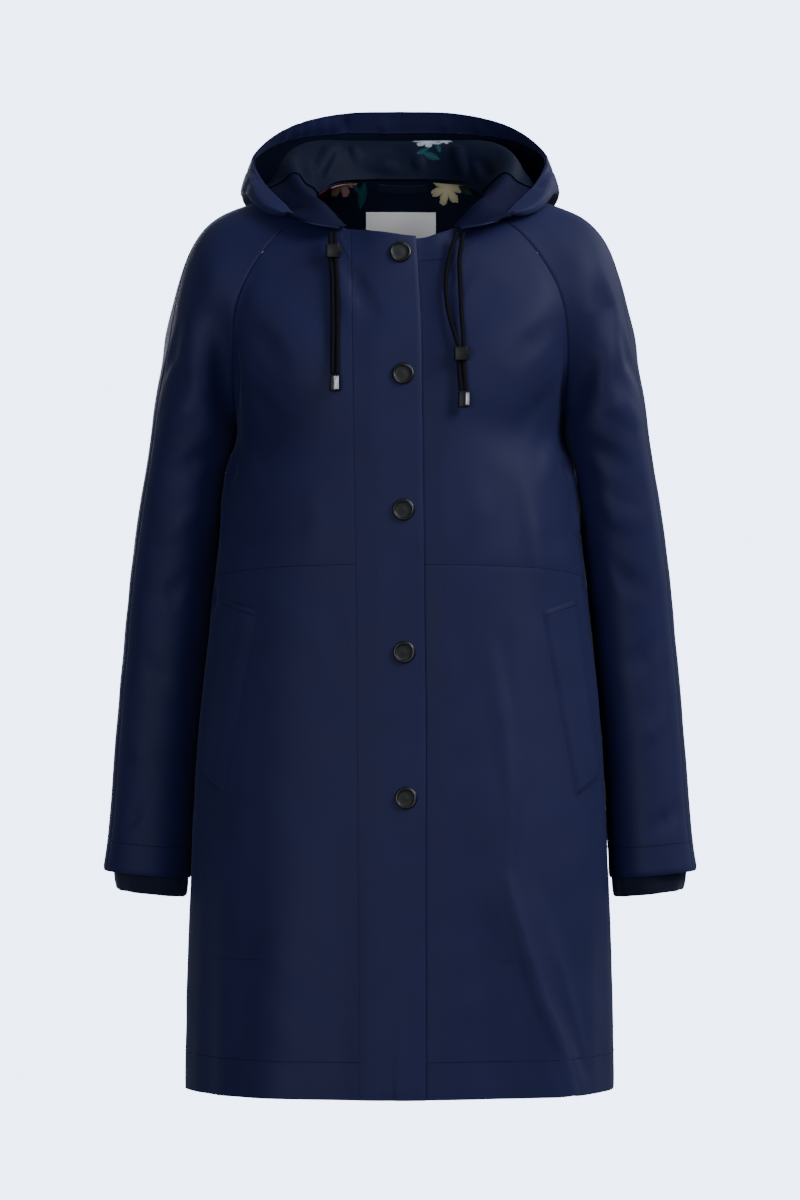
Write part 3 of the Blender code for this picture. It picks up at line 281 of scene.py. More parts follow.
# ---------------------------------------------------------------- creases of the coat
# Rows are lines of points (x, y, z, half width, height), as for the folds.
CREASES = [
    # front, from the neck and the raglan seams
    ((-60, -88, -34, 9, 0), (-42, -98, -58, 12, -2.1), (-28, -108, -84, 13, -1.4),
     (-22, -112, -104, 12, 0)),
    ((-66, -86, -58, 9, 0), (-50, -99, -84, 12, 1.6), (-40, -108, -118, 13, 0)),
    ((72, -70, -44, 10, 0), (54, -94, -70, 13, -1.6), (44, -106, -98, 13, 0)),
    ((-150, -82, -92, 12, 0), (-128, -104, -120, 17, -2.4), (-108, -118, -150, 16, 0)),
    ((150, -82, -92, 12, 0), (126, -104, -118, 17, -2.1), (104, -118, -144, 16, 0)),
    ((-158, -64, -150, 12, 0), (-140, -98, -178, 19, -2.9), (-122, -118, -206, 18, 0)),
    ((158, -64, -150, 12, 0), (140, -98, -182, 19, -2.6), (118, -120, -214, 18, 0)),
    ((-162, -36, -196, 12, 0), (-152, -84, -226, 18, 2.6), (-140, -104, -262, 20, 0)),
    ((162, -36, -196, 12, 0), (152, -84, -230, 18, 2.2), (138, -106, -268, 20, 0)),
    # front, about the waist and the hip seams
    ((-168, -22, -212, 24, 0), (-170, -28, -236, 30, 3.2), (-171, -32, -272, 30, 3.2),
     (-175, -34, -316, 24, 0)),
    ((168, -22, -212, 24, 0), (170, -28, -236, 30, 3.2), (171, -32, -272, 30, 3.2),
     (175, -34, -316, 24, 0)),
    ((128, -118, -249, 14, 0), (134, -120, -310, 18, 1.8), (142, -116, -380, 16, 0)),
    ((88, -148, -396, 12, 0), (98, -148, -470, 15, 2.8), (108, -148, -556, 15, 3.0),
     (106, -156, -620, 13, 1.4)),
    ((-172, -50, -296, 14, 0), (-150, -92, -306, 19, -1.4), (-116, -124, -300, 17, 0)),
    ((176, -44, -300, 14, 0), (152, -92, -312, 19, -1.2), (122, -124, -308, 17, 0)),
    ((-94, -138, -250, 16, 0), (-84, -144, -290, 20, 1.2), (-88, -146, -334, 18, 0)),
    ((70, -142, -236, 16, 0), (78, -144, -284, 21, 1.3), (72, -148, -336, 18, 0)),
    ((-62, -150, -352, 14, 0), (-66, -154, -398, 20, -1.1), (-62, -158, -452, 18, 0)),
    ((64, -150, -352, 14, 0), (58, -156, -404, 19, -1.2), (64, -160, -462, 18, 0)),
    # skirt, between the larger folds
    ((-58, -160, -560, 22, 0), (-54, -166, -680, 26, -1.9), (-60, -174, -850, 28, -2.6)),
    ((74, -160, -600, 22, 0), (82, -164, -720, 26, -2.0), (96, -168, -850, 28, -2.8)),
    ((-176, -90, -600, 22, 0), (-182, -92, -720, 27, -2.0), (-186, -94, -850, 28, -2.6)),
    ((192, -70, -620, 20, 0), (196, -74, -740, 24, -1.6), (200, -76, -850, 26, -2.0)),
    ((-150, -124, -706, 16, 0), (-118, -148, -722, 18, 1.0), (-90, -160, -716, 14, 0)),
    ((112, -150, -748, 14, 0), (70, -168, -762, 18, 0.9), (46, -172, -756, 14, 0)),
    ((100, -160, -596, 10, 0), (104, -160, -641, 12, 1.6), (124, -156, -716, 12, 3.8),
     (139, -152, -764, 12, 3.8),
     (160, -140, -815, 13, 2.2), (170, -132, -856, 13, 1.6)),
    ((122, -154, -636, 12, 0), (144, -148, -716, 15, -2.2), (162, -138, -770, 15, -2.6),
     (184, -116, -830, 14, -1.6)),
    # back
    ((60, 66, 10, 14, 0), (78, 92, -28, 19, -1.6), (90, 108, -70, 18, 0)),
    ((-60, 66, 10, 14, 0), (-80, 90, -30, 19, -1.5), (-92, 106, -74, 18, 0)),
    ((150, 82, -70, 14, 0), (126, 106, -104, 20, -1.9), (98, 116, -140, 18, 0)),
    ((-150, 82, -74, 14, 0), (-128, 104, -108, 20, -1.8), (-100, 116, -146, 18, 0)),
    ((160, 48, -170, 14, 0), (142, 90, -204, 20, 1.6), (118, 114, -236, 18, 0)),
    ((-160, 48, -174, 14, 0), (-142, 90, -208, 20, 1.5), (-116, 114, -242, 18, 0)),
    ((-84, 128, -280, 26, 0), (-20, 132, -300, 24, -1.9), (52, 130, -288, 26, 0)),
    ((-60, 128, -332, 24, 0), (10, 134, -350, 24, -1.5), (82, 128, -340, 24, 0)),
    ((20, 140, -420, 24, 0), (24, 152, -600, 28, -2.1), (30, 164, -850, 30, -2.8)),
    ((-118, 128, -440, 24, 0), (-128, 134, -620, 28, -2.0), (-138, 140, -850, 30, -2.6)),
    ((178, 92, -500, 22, 0), (184, 98, -660, 26, -1.8), (190, 100, -850, 28, -2.4)),
    # sleeves, left
    ((214, -52, -98, 12, 0), (228, -42, -132, 18, -3.3), (240, -22, -160, 14, 0)),
    ((196, -64, -146, 12, 0), (214, -58, -176, 18, 3), (236, -36, -200, 14, 0)),
    ((182, -44, -206, 12, 0), (204, -62, -228, 19, -3.5), (232, -46, -244, 15, 0)),
    ((188, -44, -262, 12, 0), (214, -58, -288, 19, 2.6), (246, -40, -296, 15, 0)),
    ((204, -54, -330, 12, 0), (226, -54, -352, 19, -2.8), (252, -34, -362, 15, 0)),
    ((262, -22, -400, 14, 0), (240, -48, -428, 20, -2.6), (214, -44, -440, 15, 0)),
    ((268, -22, -480, 14, 0), (248, -48, -500, 20, 2.2), (222, -46, -516, 15, 0)),
    ((284, -18, -574, 12, 0), (264, -44, -590, 16, -2), (242, -50, -606, 12, 0)),
    ((228, 62, -140, 14, 0), (212, 76, -186, 20, -2.9), (196, 76, -226, 15, 0)),
    ((248, 44, -270, 14, 0), (226, 70, -300, 20, 2.9), (200, 68, -316, 15, 0)),
    ((256, 42, -350, 14, 0), (234, 64, -380, 20, -3.2), (208, 62, -396, 15, 0)),
    ((264, 38, -440, 14, 0), (244, 58, -470, 20, 2.5), (220, 58, -484, 15, 0)),
    ((276, 32, -540, 14, 0), (256, 52, -566, 18, -2.5), (232, 54, -578, 14, 0)),
    # sleeves, right
    ((-210, -54, -92, 12, 0), (-226, -44, -126, 18, -3.2), (-240, -22, -152, 14, 0)),
    ((-194, -64, -152, 12, 0), (-214, -58, -182, 18, 3.2), (-236, -36, -208, 14, 0)),
    ((-180, -44, -212, 12, 0), (-204, -62, -236, 19, -3.3), (-232, -46, -252, 15, 0)),
    ((-190, -46, -274, 12, 0), (-216, -58, -296, 19, 2.5), (-246, -40, -310, 15, 0)),
    ((-202, -52, -344, 12, 0), (-226, -54, -364, 19, -2.9), (-252, -34, -372, 15, 0)),
    ((-264, -22, -420, 14, 0), (-242, -48, -446, 20, -2.5), (-216, -44, -460, 15, 0)),
    ((-252, -40, -572, 7, 0), (-264, -36, -586, 9, -2.3), (-277, -24, -600, 7, 0)),
    ((-284, -16, -500, 14, 0), (-262, -42, -520, 18, 1.9), (-238, -50, -534, 14, 0)),
    ((-228, 62, -150, 14, 0), (-212, 76, -196, 20, -3), (-196, 76, -236, 15, 0)),
    ((-248, 44, -280, 14, 0), (-226, 70, -312, 20, 2.8), (-200, 68, -330, 15, 0)),
    ((-258, 42, -370, 14, 0), (-236, 64, -396, 20, -2.9), (-210, 62, -412, 15, 0)),
    ((-266, 38, -460, 14, 0), (-246, 58, -486, 20, 2.6), (-222, 58, -500, 15, 0)),
    ((-276, 32, -550, 14, 0), (-256, 52, -572, 18, -2.3), (-232, 54, -590, 14, 0)),
]
UNEVEN_SIZE = 34.0     # how wide the cloth's slow unevenness is, and how high
UNEVEN_HEIGHT = 0.55

# ---------------------------------------------------------------- creases of the hood
HOOD_CREASES = [
    # gathers of the facing, and the small pleat in it
    ((-56, 130, 125, 4, 0), (-56, 134, 119, 5, 3.6), (-55, 139, 109, 5, 1.7),
     (-54, 142, 102, 4, 0)),
    ((-66, 127, 123, 4, 0), (-67, 131, 116, 5, -2.8), (-68, 136, 106, 5, 0)),
    ((-77, 122, 122, 4, 0), (-79, 127, 115, 5, -3.4), (-82, 131, 105, 5, 0)),
    ((-90, 115, 121, 4, 0), (-93, 120, 113, 5, -3.4), (-96, 124, 103, 5, 0)),
    ((-101, 108, 118, 4, 0), (-104, 113, 110, 5, -3.1), (-108, 117, 99, 5, 0)),
    ((-113, 98, 112, 4, 0), (-117, 102, 103, 5, -2.8), (-121, 106, 92, 5, 0)),
    ((-20, 138, 124, 5, 0), (-16, 142, 116, 6, -2), (-15, 147, 104, 5, 0)),
    ((44, 134, 124, 5, 0), (48, 138, 116, 6, -1.7), (50, 143, 104, 5, 0)),
    ((78, 122, 121, 5, 0), (82, 127, 113, 6, -2.2), (85, 130, 103, 5, 0)),
    ((100, 110, 118, 5, 0), (104, 114, 109, 6, -2.2), (108, 118, 99, 5, 0)),
    # the roll at the back of the neck
    ((-62, 80, 91, 7, 0), (-72, 63, 83, 8, -3.8), (-82, 42, 64, 8, -4.5), (-80, 36, 54, 7, 0)),
    ((-106, 36, 78, 10, 0), (-98, 20, 66, 13, 3.8), (-94, -8, 46, 12, 2.6), (-88, -40, 34, 9, 0)),
    ((-50, 84, 89, 6, 0), (-48, 78, 80, 7, -3.2), (-45, 71, 70, 7, 0)),
    ((-40, 74, 70, 7, 0), (-16, 77, 69, 9, -2.6), (9, 76, 61, 7, 0)),
    ((-30, 84, 86, 7, 0), (-6, 86, 84, 9, 2.2), (16, 84, 83, 7, 0)),
    ((12, 82, 83, 6, 0), (19, 79, 72, 8, -3.5), (24, 75, 60, 6, 0)),
    ((54, 78, 88, 6, 0), (60, 69, 80, 8, -4.2), (66, 56, 62, 8, -3.8), (68, 50, 54, 6, 0)),
    ((80, 52, 76, 8, 0), (87, 30, 60, 11, 3.8), (96, 2, 52, 9, 0)),
    ((74, 54, 70, 5, 0), (80, 36, 58, 7, -3.2), (84, 16, 50, 5, 0)),
    # inside and outside of the bag
    ((-136, 40, 76, 10, 0), (-150, 52, 52, 15, -2.4), (-156, 64, 28, 12, 0)),
    ((-130, -6, 46, 9, 0), (-148, 2, 36, 13, -1.8), (-158, 12, 28, 10, 0)),
    ((136, 40, 80, 10, 0), (150, 50, 58, 15, -2.0), (158, 62, 34, 12, 0)),
    ((120, -20, 40, 9, 0), (138, -14, 36, 12, -1.6), (152, -2, 32, 10, 0)),
    ((36, 152, 96, 12, 0), (44, 166, 40, 18, -2.6), (40, 172, -20, 14, 0)),
    ((-30, 154, 92, 12, 0), (-42, 168, 36, 18, -2.4), (-50, 172, -28, 14, 0)),
    ((84, 136, 70, 12, 0), (98, 144, 24, 17, 2.2), (106, 146, -10, 13, 0)),
    ((-88, 134, 74, 12, 0), (-100, 144, 30, 17, 2.2), (-108, 146, -6, 13, 0)),
]
HOOD_CREASE_DEPTH = 12
HOOD_SPAN = 16         # steps of the hood's cloth between two section points
FACING_STEPS = 4       # steps in from the rim that the facing covers

# ---------------------------------------------------------------- how edges lie
PLACKET_SLOPE = 26.0    # the placket's cloth rises off the front within this width of its seam
PLACKET_DROP = (0.9, 0.2)   # as SEAM_DROP
PLACKET_AT_SEAM = (0.1, 0.1)   # its wall there, and the share of its lift there
PLACKET_SEAM_BAND = 4   # the fronts show a soft seam this near to it
PLACKET_TURN = 20.0    # beyond this from its seam the placket's edge is a free, turned one
SUNK_DEPTH = 3.2       # the left front sinks beside the placket's free edge, this deep and wide
SUNK_WIDTH = 24.0
SOFT_SEAM = 0.16       # share of a seam's depth that shows at the placket's seam
HIP_SHARE = 0.24       # and at the hip and below, where the share falls between these heights
HIP_FADE = (-260, -225)
WELT_DROP = (0.9, 0.3)   # as SEAM_DROP
WELT_SLOPES = {"left": 0.14, "right": 0.45}   # share of its width over which a long edge rises
# Further in than this, the hood's inner side has the darker backing, painted shade.
CHANNEL_STEPS = 6      # steps in from the hood's rim that the cord channel's cloth covers
LOOP_SAG = 2.2
LOOP_SAG_POWER = 0.7   # below 1 the loop is fuller than a sine
LOOP_DROP = (0.5, 0.15)
CUFF_COLUMNS = 96
CUFF_SPAN = 8
CUFF_EASE = 1.1        # depth of the soft flutes of the storm cuffs
CUFF_FLUTES = 9
CUFF_DRIFT = 1.3       # how unevenly the flutes are spaced

# ---------------------------------------------------------------- the lining's print
REPEAT = (480.0, 320.0)
NECK_REPEAT_START = (-90.0, 0.0)
HOOD_REPEAT_START = (-90.0, -70.0)
PRINT_COLOURS = {
    "pink": (0.40, 0.24, 0.21), "red": (0.15, 0.015, 0.03), "cream": (0.62, 0.58, 0.36),
    "white": (0.42, 0.47, 0.56), "teal": (0.012, 0.060, 0.075), "green": (0.02, 0.05, 0.035),
}
# kind, centre, size, petals (or a leaf's width as a share of its length), turn in degrees, colour
MOTIFS = [
    ("flower", 30, 54, 17, 7, 15, "pink"), ("flower", 12, 42, 6, 5, 40, "red"),
    ("leaf", 52, 40, 14, 0.30, 100, "teal"), ("leaf", 47, 45, 7, 0.34, 40, "teal"),
    ("flower", 138, 47, 17, 7, 5, "cream"), ("leaf", 156, 44, 8, 0.4, 30, "green"),
    ("flower", 118, 174, 15, 7, 30, "white"), ("flower", 136, 176, 9, 6, 10, "white"),
    ("leaf", 123, 150, 10, 0.36, 20, "teal"), ("leaf", 114, 156, 8, 0.36, 150, "teal"),
    ("leaf", 130, 160, 7, 0.36, 70, "teal"), ("flower", 88, 226, 15, 7, 70, "pink"),
    ("leaf", 106, 214, 11, 0.36, 35, "green"), ("flower", 50, 240, 14, 6, 20, "cream"),
    ("leaf", 66, 226, 11, 0.34, 140, "teal"), ("flower", 134, 244, 14, 6, 35, "white"),
]
PETAL_SHAPE = (0.6, 0.62, 0.38)   # power of a flower's lobes, their share of its radius, the rest
PETAL_EDGE = (0.35, 0.5, 0.75)    # scale, height and foot of the unevenness of a petal's edge
PETAL_VEINS = 19.0
VEIN_SHARE = 0.25      # share of a petal's shade that its veins make
LEAF_VEIN = 0.5        # half the width of a leaf's middle vein
LEAF_RIBS = 1.6
INK_SHADE = 0.45       # a motif's shaded parts, as a share of its colour

# ---------------------------------------------------------------- finishes, in metres or per metre
WEAVE_TURN = 0.785     # the threads cross at this angle to either side, in radians
WEAVE_DEPTH = 0.0002
MOTTLE_SIZE = 18.0     # scale of the cloth's slow unevenness
LINT_SCALE = 420.0     # scale of the specks, of the patches where they lie, and a speck's size
LINT_PATCHES = 9.0
LINT_RADIUS = 0.09
LINT_PALER = 0.16
SHEEN_TINT = (0.45, 0.52, 0.85, 1)
SHEEN_ROUGHNESS = 0.45
CLOTH_SPREAD = 0.05    # how far the roughness of cloth, and of trim, varies to either side
TRIM_SPREAD = 0.06
TRIM_GRAIN = 260.0
TRIM_DEPTH = 0.0001
LEAST_ROUGHNESS = 0.02
METAL = (0.52, 0.53, 0.56)

# ---------------------------------------------------------------- trim
SNAP_SPAN = 6
SNAP_TURNS = 64
SNAP_FACE_RADIUS = 7.9
BRAID_STEP = 0.8
BRAID_SIDES = 24
BRAID_STRANDS = 4
BRAID_PITCH = 1.6
BRAID_RELIEF = (0.96, 0.06)   # mean radius and height of the strands, as shares of the radius
BRAID_TIP = 0.8
LOCK_ROUND = 2.4
PLUNGER_SIZE = (2.0, 5.0, 7.0)
PLUNGER_SUNK = 0.5     # how deep it sits in the lock, and how far above its middle
PLUNGER_RISE = 1.5
# how far the edges of a lock, a plunger, a cord end and its plate are rounded
LOCK_EDGE, PLUNGER_EDGE, END_EDGE, PLATE_EDGE = 1.0, 0.6, 1.2, 0.3
ROUND_STEPS = 5        # points of a block's round corner, and outlines of its rounded edge
EDGE_STEPS = 4
# how far a cord end's bright plate lies from its centre, and the plate's size
END_PLATES = {"cord_end_right": ((1.8, -3.6, 0.3), (4.6, 0.8, 13.0)),
              "cord_end_left": ((4.3, -3.4, 0.3), (1.6, 0.8, 12.0))}

# ---------------------------------------------------------------- stitching
HEM_STITCH = -819.0    # height of the row above the hem
CUFF_STITCH = 30.0     # how far above the sleeve hem its row lies
HEM_REACH = 300        # rays from the middle of the body, or of a sleeve, are aimed at a circle of
CUFF_REACH = 40        # this radius
RING_STEPS = 150       # points of a row round the body or a sleeve, and of one on the front
LINE_STEPS = 80
# a stitch's rings: place along half its length, rise and width as shares of half its thread
STITCH_RINGS = ((-1, -0.25, 0.35), (-0.6, 0.75, 1), (0.6, 0.75, 1), (1, -0.25, 0.35))
# rows on a welt: in from its top, from its foot and from its long edges
WELT_ROWS = (5, 3, 2)
# (x, z) corners of the rows at the neck facing and of the faint rows across the skirt
NECK_ROWS = [((-59, -14), (-50.5, -34)), ((20, -36), (47, -34), (65, -22), (84, -5))]
SKIRT_ROWS = [((-192, -722), (-120, -721)), ((96, -722), (150, -720))]

# ---------------------------------------------------------------- studio, in metres
CAMERA = (0.0, -6.0, -0.37)
CAMERA_LENS, CAMERA_SENSOR = 180, 36      # millimetres
FLOOR_START = 0.0005   # the floor's grid starts this far from its middle
FLOOR_DROP = 0.22
STUDIO_RADIUS = 14.0
STUDIO_BEND = 1.6
STUDIO_STEPS = 16
LIGHT_TARGET = (0.0, 0.0, -0.35)
# name, size, power, place, tint
STUDIO_LIGHTS = [
    ("key", 2.0, 200.0, (3.7, -2.0, 2.5), (1.0, 0.99, 0.98)),
    ("fill", 2.4, 122.0, (-1.5, -4.9, 0.0), (0.95, 0.97, 1.0)),
    ("top", 2.4, 70.0, (2.4, -0.8, 2.9), (0.97, 0.98, 1.0)),
    ("back", 1.6, 30.0, (2.8, 2.6, 1.4), (0.94, 0.97, 1.0)),
    ("behind", 2.6, 90.0, (-0.8, 4.8, 0.5), (0.95, 0.97, 1.0)),
]


# ---------------------------------------------------------------- curves
def bezier(start, start_dir, end, end_dir, pull):
    """A cubic arc between two points with the given directions, as an array of points."""
    start, end = np.array(start, float), np.array(end, float)
    reach = pull * np.linalg.norm(end - start)
    a = start + reach * unit(start_dir)
    b = end - reach * unit(end_dir)
    t = np.linspace(0, 1, ARC_STEPS)[:, None]
    return (1 - t)**3 * start + 3 * (1 - t)**2 * t * a + 3 * (1 - t) * t**2 * b + t**3 * end


def unit(vector):
    vector = np.array(vector, float)
    return vector / np.linalg.norm(vector)


def step_lengths(line):
    return np.linalg.norm(np.diff(line, axis=0), axis=1)


def run_of(steps):
    """How far each point of a line lies from its start, from the lengths of its steps."""
    return np.concatenate([[0], np.cumsum(steps)])


def points_at(at, run, line):
    """Points of a line at these distances from its start."""
    return np.column_stack([np.interp(at, run, line[:, k]) for k in range(line.shape[1])])


def shares_along(line, shares):
    """Points at the given shares of a line's length."""
    steps = step_lengths(line)
    return list(points_at(shares, run_of(steps) / steps.sum(), line))


def beyond_x(line, x):
    """The stretch of a line from where it crosses x outward, for a line that starts nearer."""
    index = int(np.argmax(line[:, 0] > x))
    before, after = line[index - 1], line[index]
    cut = before + (after - before) * (x - before[0]) / (after[0] - before[0])
    return np.vstack([cut, line[index:]])


def mirrored(points):
    return np.array(points) * (-1, 1, 1)


def at_height(table, z):
    """x from a table of (z, x) rows, at one height or at many."""
    return np.interp(z, *zip(*sorted(table)))


def smooth_step(value):
    value = np.clip(value, 0, 1)
    return value * value * (3 - 2 * value)


def ramp(low, high, share):
    return low + (high - low) * share


def shares_at(table, z):
    """The shares of a table of (z, shares) rows at a height."""
    heights, *columns = zip(*sorted(table))
    return [float(np.interp(z, heights, column)) for column in columns]


# ---------------------------------------------------------------- rings of the skin
def front_columns(arc):
    """Thirteen points from the right seam over the placket to the left seam, from one half arc."""
    z = arc[0][2]
    right = beyond_x(arc, -at_height(PLACKET_SEAM, z))
    left = beyond_x(arc, at_height(PLACKET_EDGE, z))
    right_points = [arc[-1]] + shares_along(right, shares_at(RIGHT_SHARES, z))[::-1] + [right[0]]
    left_points = [left[0]] + shares_along(left, shares_at(LEFT_SHARES, z)) + [arc[-1]]
    middle = (right[0] * (-1, 1, 1) + left[0]) / 2
    middle[1] = arc[0][1]
    return list(mirrored(right_points)) + [middle] + left_points


def back_columns(arc):
    """Nine points from the left seam over the middle of the back to the right seam."""
    half = [arc[-1]] + shares_along(arc, BACK_SHARES)[::-1] + [arc[0]]
    return half + list(mirrored(half[-2::-1]))


def over_direction(index):
    """The ring's direction at the seam over the arm: backward, and still climbing a little."""
    line = [ring.over for ring in YOKE] + [NEXT_OVER]
    previous = line[max(index - 1, 0)]
    run = unit(np.array(line[index + 1], float) - previous)
    outward = unit(np.cross(run, (0, 1, 0)))
    if outward[2] < 0:
        outward = -outward
    share = index / (len(YOKE) - 1)
    turn = np.radians(OVER_TURN_TOP + (OVER_TURN_ARM - OVER_TURN_TOP) * share)
    return np.array((0, 1, 0)) * np.cos(turn) + outward * np.sin(turn)


def oval_arc(middle, side):
    """A quarter of a squared oval, from the ring's middle to its side."""
    turn = np.linspace(0, np.pi / 2, ARC_STEPS)
    x = side[0] * np.sin(turn)**(2 / ROUNDNESS)
    depth = np.cos(turn).clip(0)**(2 / ROUNDNESS)
    return np.column_stack([x, side[1] + (middle[0] - side[1]) * depth,
                            side[2] + (middle[1] - side[2]) * depth])


def yoke_ring(index):
    """The ring's columns: front, left sleeve, back and right sleeve, each with both its ends."""
    ring = YOKE[index]
    if index == len(YOKE) - 1:
        front, back = oval_arc(ring.front, ring.seam), oval_arc(ring.back, ring.rear_seam)
    else:
        front = bezier((0, *ring.front), (1, 0, 0), ring.seam, ring.to_seam, BODY_PULL)
        back = bezier((0, *ring.back), (1, 0, 0), ring.rear_seam, ring.to_rear_seam, BODY_PULL)
    front, back = front_columns(front), back_columns(back)
    over = over_direction(index)
    fore = bezier(ring.seam, ring.from_seam, ring.over, over, ring.pull)
    rear = bezier(ring.rear_seam, ring.from_rear_seam, ring.over, -over, ring.rear_pull)
    sleeve = ([fore[0]] + shares_along(fore, SLEEVE_SHARES) + [fore[-1]]
              + shares_along(rear, SLEEVE_SHARES)[::-1] + [rear[0]])
    return front, sleeve, back, list(mirrored(sleeve[::-1]))


def oval(angles, x_in, x_out, front, back, power):
    """Points of a squared oval: 180 degrees is the inner side, 90 the front, 0 the outer side."""
    middle_x, reach_x = (x_in + x_out) / 2, (x_out - x_in) / 2
    middle_y, reach_y = (front + back) / 2, (back - front) / 2
    points = []
    for angle in np.radians(angles):
        c, s = np.cos(angle), np.sin(angle)
        points.append((middle_x + reach_x * np.sign(c) * abs(c)**(2 / power),
                       middle_y - reach_y * np.sign(s) * abs(s)**(2 / power)))
    return points


def body_ring(ring):
    """Twenty columns: thirteen over the front, from the right side to the left, then seven behind."""
    side = (ring.half_width, ring.side_y, ring.z)
    front = oval_arc((ring.front, ring.z + ring.front_rise), side)
    back = oval_arc((ring.back, ring.z), side)
    return front_columns(front) + back_columns(back)[1:-1]


def sleeve_ring(ring, angles=SLEEVE_ANGLES):
    """Points round the left sleeve or cuff, from its inner side by the front."""
    points = []
    for x, y in oval(angles, ring.x_in, ring.x_out, ring.front, ring.back, SLEEVE_ROUNDNESS):
        share = (x - ring.x_in) / (ring.x_out - ring.x_in)
        points.append(np.array((x, y, ring.z_in + (ring.z_out - ring.z_in) * share)))
    return points


# ---------------------------------------------------------------- the cage of the coat
class Cage:
    """Section points and the faces between them, each face tagged with its panel."""

    def __init__(self):
        self.points, self.faces, self.tags = [], [], []

    def add(self, points):
        start = len(self.points)
        self.points.extend(points)
        return list(range(start, start + len(points)))

    def strip(self, upper, lower, tags):
        """Faces between two rows of point numbers, one tag for each column."""
        for k, tag in enumerate(tags):
            self.faces.append((upper[k], lower[k], lower[k + 1], upper[k + 1]))
            self.tags.append(tag)


def front_tags(names):
    """Tags of the twelve front columns: five right, two under the placket, five left."""
    right, left = (PANELS.index(name) for name in names)
    return [right] * 5 + [left + PLACKET_TAG] * 2 + [left] * 5


def coat_cage():
    cage = Cage()
    upper = front_tags(("front_upper_right", "front_upper_left"))
    lower = front_tags(("front_lower_right", "front_lower_left"))
    back = [PANELS.index("back")] * 8
    left_sleeve = ([PANELS.index("sleeve_front_left")] * OVER_COLUMN
                   + [PANELS.index("sleeve_back_left")] * (8 - OVER_COLUMN))
    right_sleeve = ([PANELS.index("sleeve_back_right")] * (8 - OVER_COLUMN)
                    + [PANELS.index("sleeve_front_right")] * OVER_COLUMN)
    yoke_rows = []
    for index in range(len(YOKE)):
        front, left, rear, right = yoke_ring(index)
        front_ids = cage.add(front)
        left_ids = [front_ids[-1]] + cage.add(left[1:-1])
        if index < len(YOKE) - 1:
            rear_ids = cage.add(rear)
        else:                          # the raglan seams end together at the underarm
            rear_ids = [front_ids[-1]] + cage.add(rear[1:-1]) + [front_ids[0]]
        left_ids.append(rear_ids[0])
        right_ids = [rear_ids[-1]] + cage.add(right[1:-1]) + [front_ids[0]]
        yoke_rows.append((front_ids, left_ids, rear_ids, right_ids))
    for index, (above, below) in enumerate(zip(yoke_rows, yoke_rows[1:])):
        for a, b, tags in zip(above, below, (upper, left_sleeve, back, right_sleeve)):
            lined = index < LINED_ROWS
            cage.strip(a, b, [tag + LINED_TAG if lined and tag in BEHIND else tag for tag in tags])
    front_ids, left_ids, rear_ids, right_ids = yoke_rows[-1]

    row = front_ids + rear_ids[1:]
    for index, ring in enumerate(BODY):
        ids = cage.add(body_ring(ring))
        ids.append(ids[0])
        cage.strip(row, ids, (upper if index <= HIP_RING else lower) + back)
        row = ids

    left_row, right_row = left_ids, right_ids
    for ring in SLEEVE:
        points = sleeve_ring(ring)
        ids = cage.add(points)
        ids.append(ids[0])
        cage.strip(left_row, ids, left_sleeve)
        left_row = ids
        ids = cage.add(mirrored([points[0]] + points[:0:-1]))
        ids.append(ids[0])
        cage.strip(right_row, ids, right_sleeve)
        right_row = ids
    return cage


# ---------------------------------------------------------------- fine skins
Skin = namedtuple("Skin", "points normals faces tags")      # arrays; every face has four corners


def face_normals(points, faces):
    """The faces' normals, as long as twice their areas."""
    a, b, c, d = (points[faces[:, k]] for k in range(4))
    return np.cross(c - a, d - b)


def point_normals(points, faces):
    flat = face_normals(points, faces)
    normals = np.zeros_like(points)
    for k in range(4):
        np.add.at(normals, faces[:, k], flat)
    return normals / np.linalg.norm(normals, axis=1)[:, None].clip(1e-9)


def smooth_skin(points, faces, tags, level):
    """The smooth surface of a cage, halved level times, as Blender's subdivision makes it."""
    mesh = bpy.data.meshes.new("cage")
    mesh.from_pydata([tuple(p) for p in points], [], faces)
    mesh.polygons.foreach_set("material_index", tags)
    cage = bpy.data.objects.new("cage", mesh)
    bpy.context.collection.objects.link(cage)
    halving = cage.modifiers.new("halving", "SUBSURF")
    halving.levels = halving.render_levels = level
    shape = cage.evaluated_get(bpy.context.evaluated_depsgraph_get())
    smooth = bpy.data.meshes.new_from_object(shape)
    places = np.empty(len(smooth.vertices) * 3)
    smooth.vertices.foreach_get("co", places)
    corners = np.empty(len(smooth.loops), int)
    smooth.loops.foreach_get("vertex_index", corners)
    panel = np.empty(len(smooth.polygons), int)
    smooth.polygons.foreach_get("material_index", panel)
    bpy.data.objects.remove(cage)
    bpy.data.meshes.remove(mesh)
    bpy.data.meshes.remove(smooth)
    places, corners = places.reshape(-1, 3), corners.reshape(-1, 4)
    return Skin(places, point_normals(places, corners), corners, panel)


def fitted_skin(cage):
    """The smooth skin that passes through the cage's section points."""
    wanted = np.array(cage.points)
    points = wanted.copy()
    for _ in range(FIT_ROUNDS):
        points += wanted - smooth_skin(points, cage.faces, cage.tags, 1).points[:len(wanted)]
    return smooth_skin(points, cage.faces, cage.tags, SKIN_LEVEL)


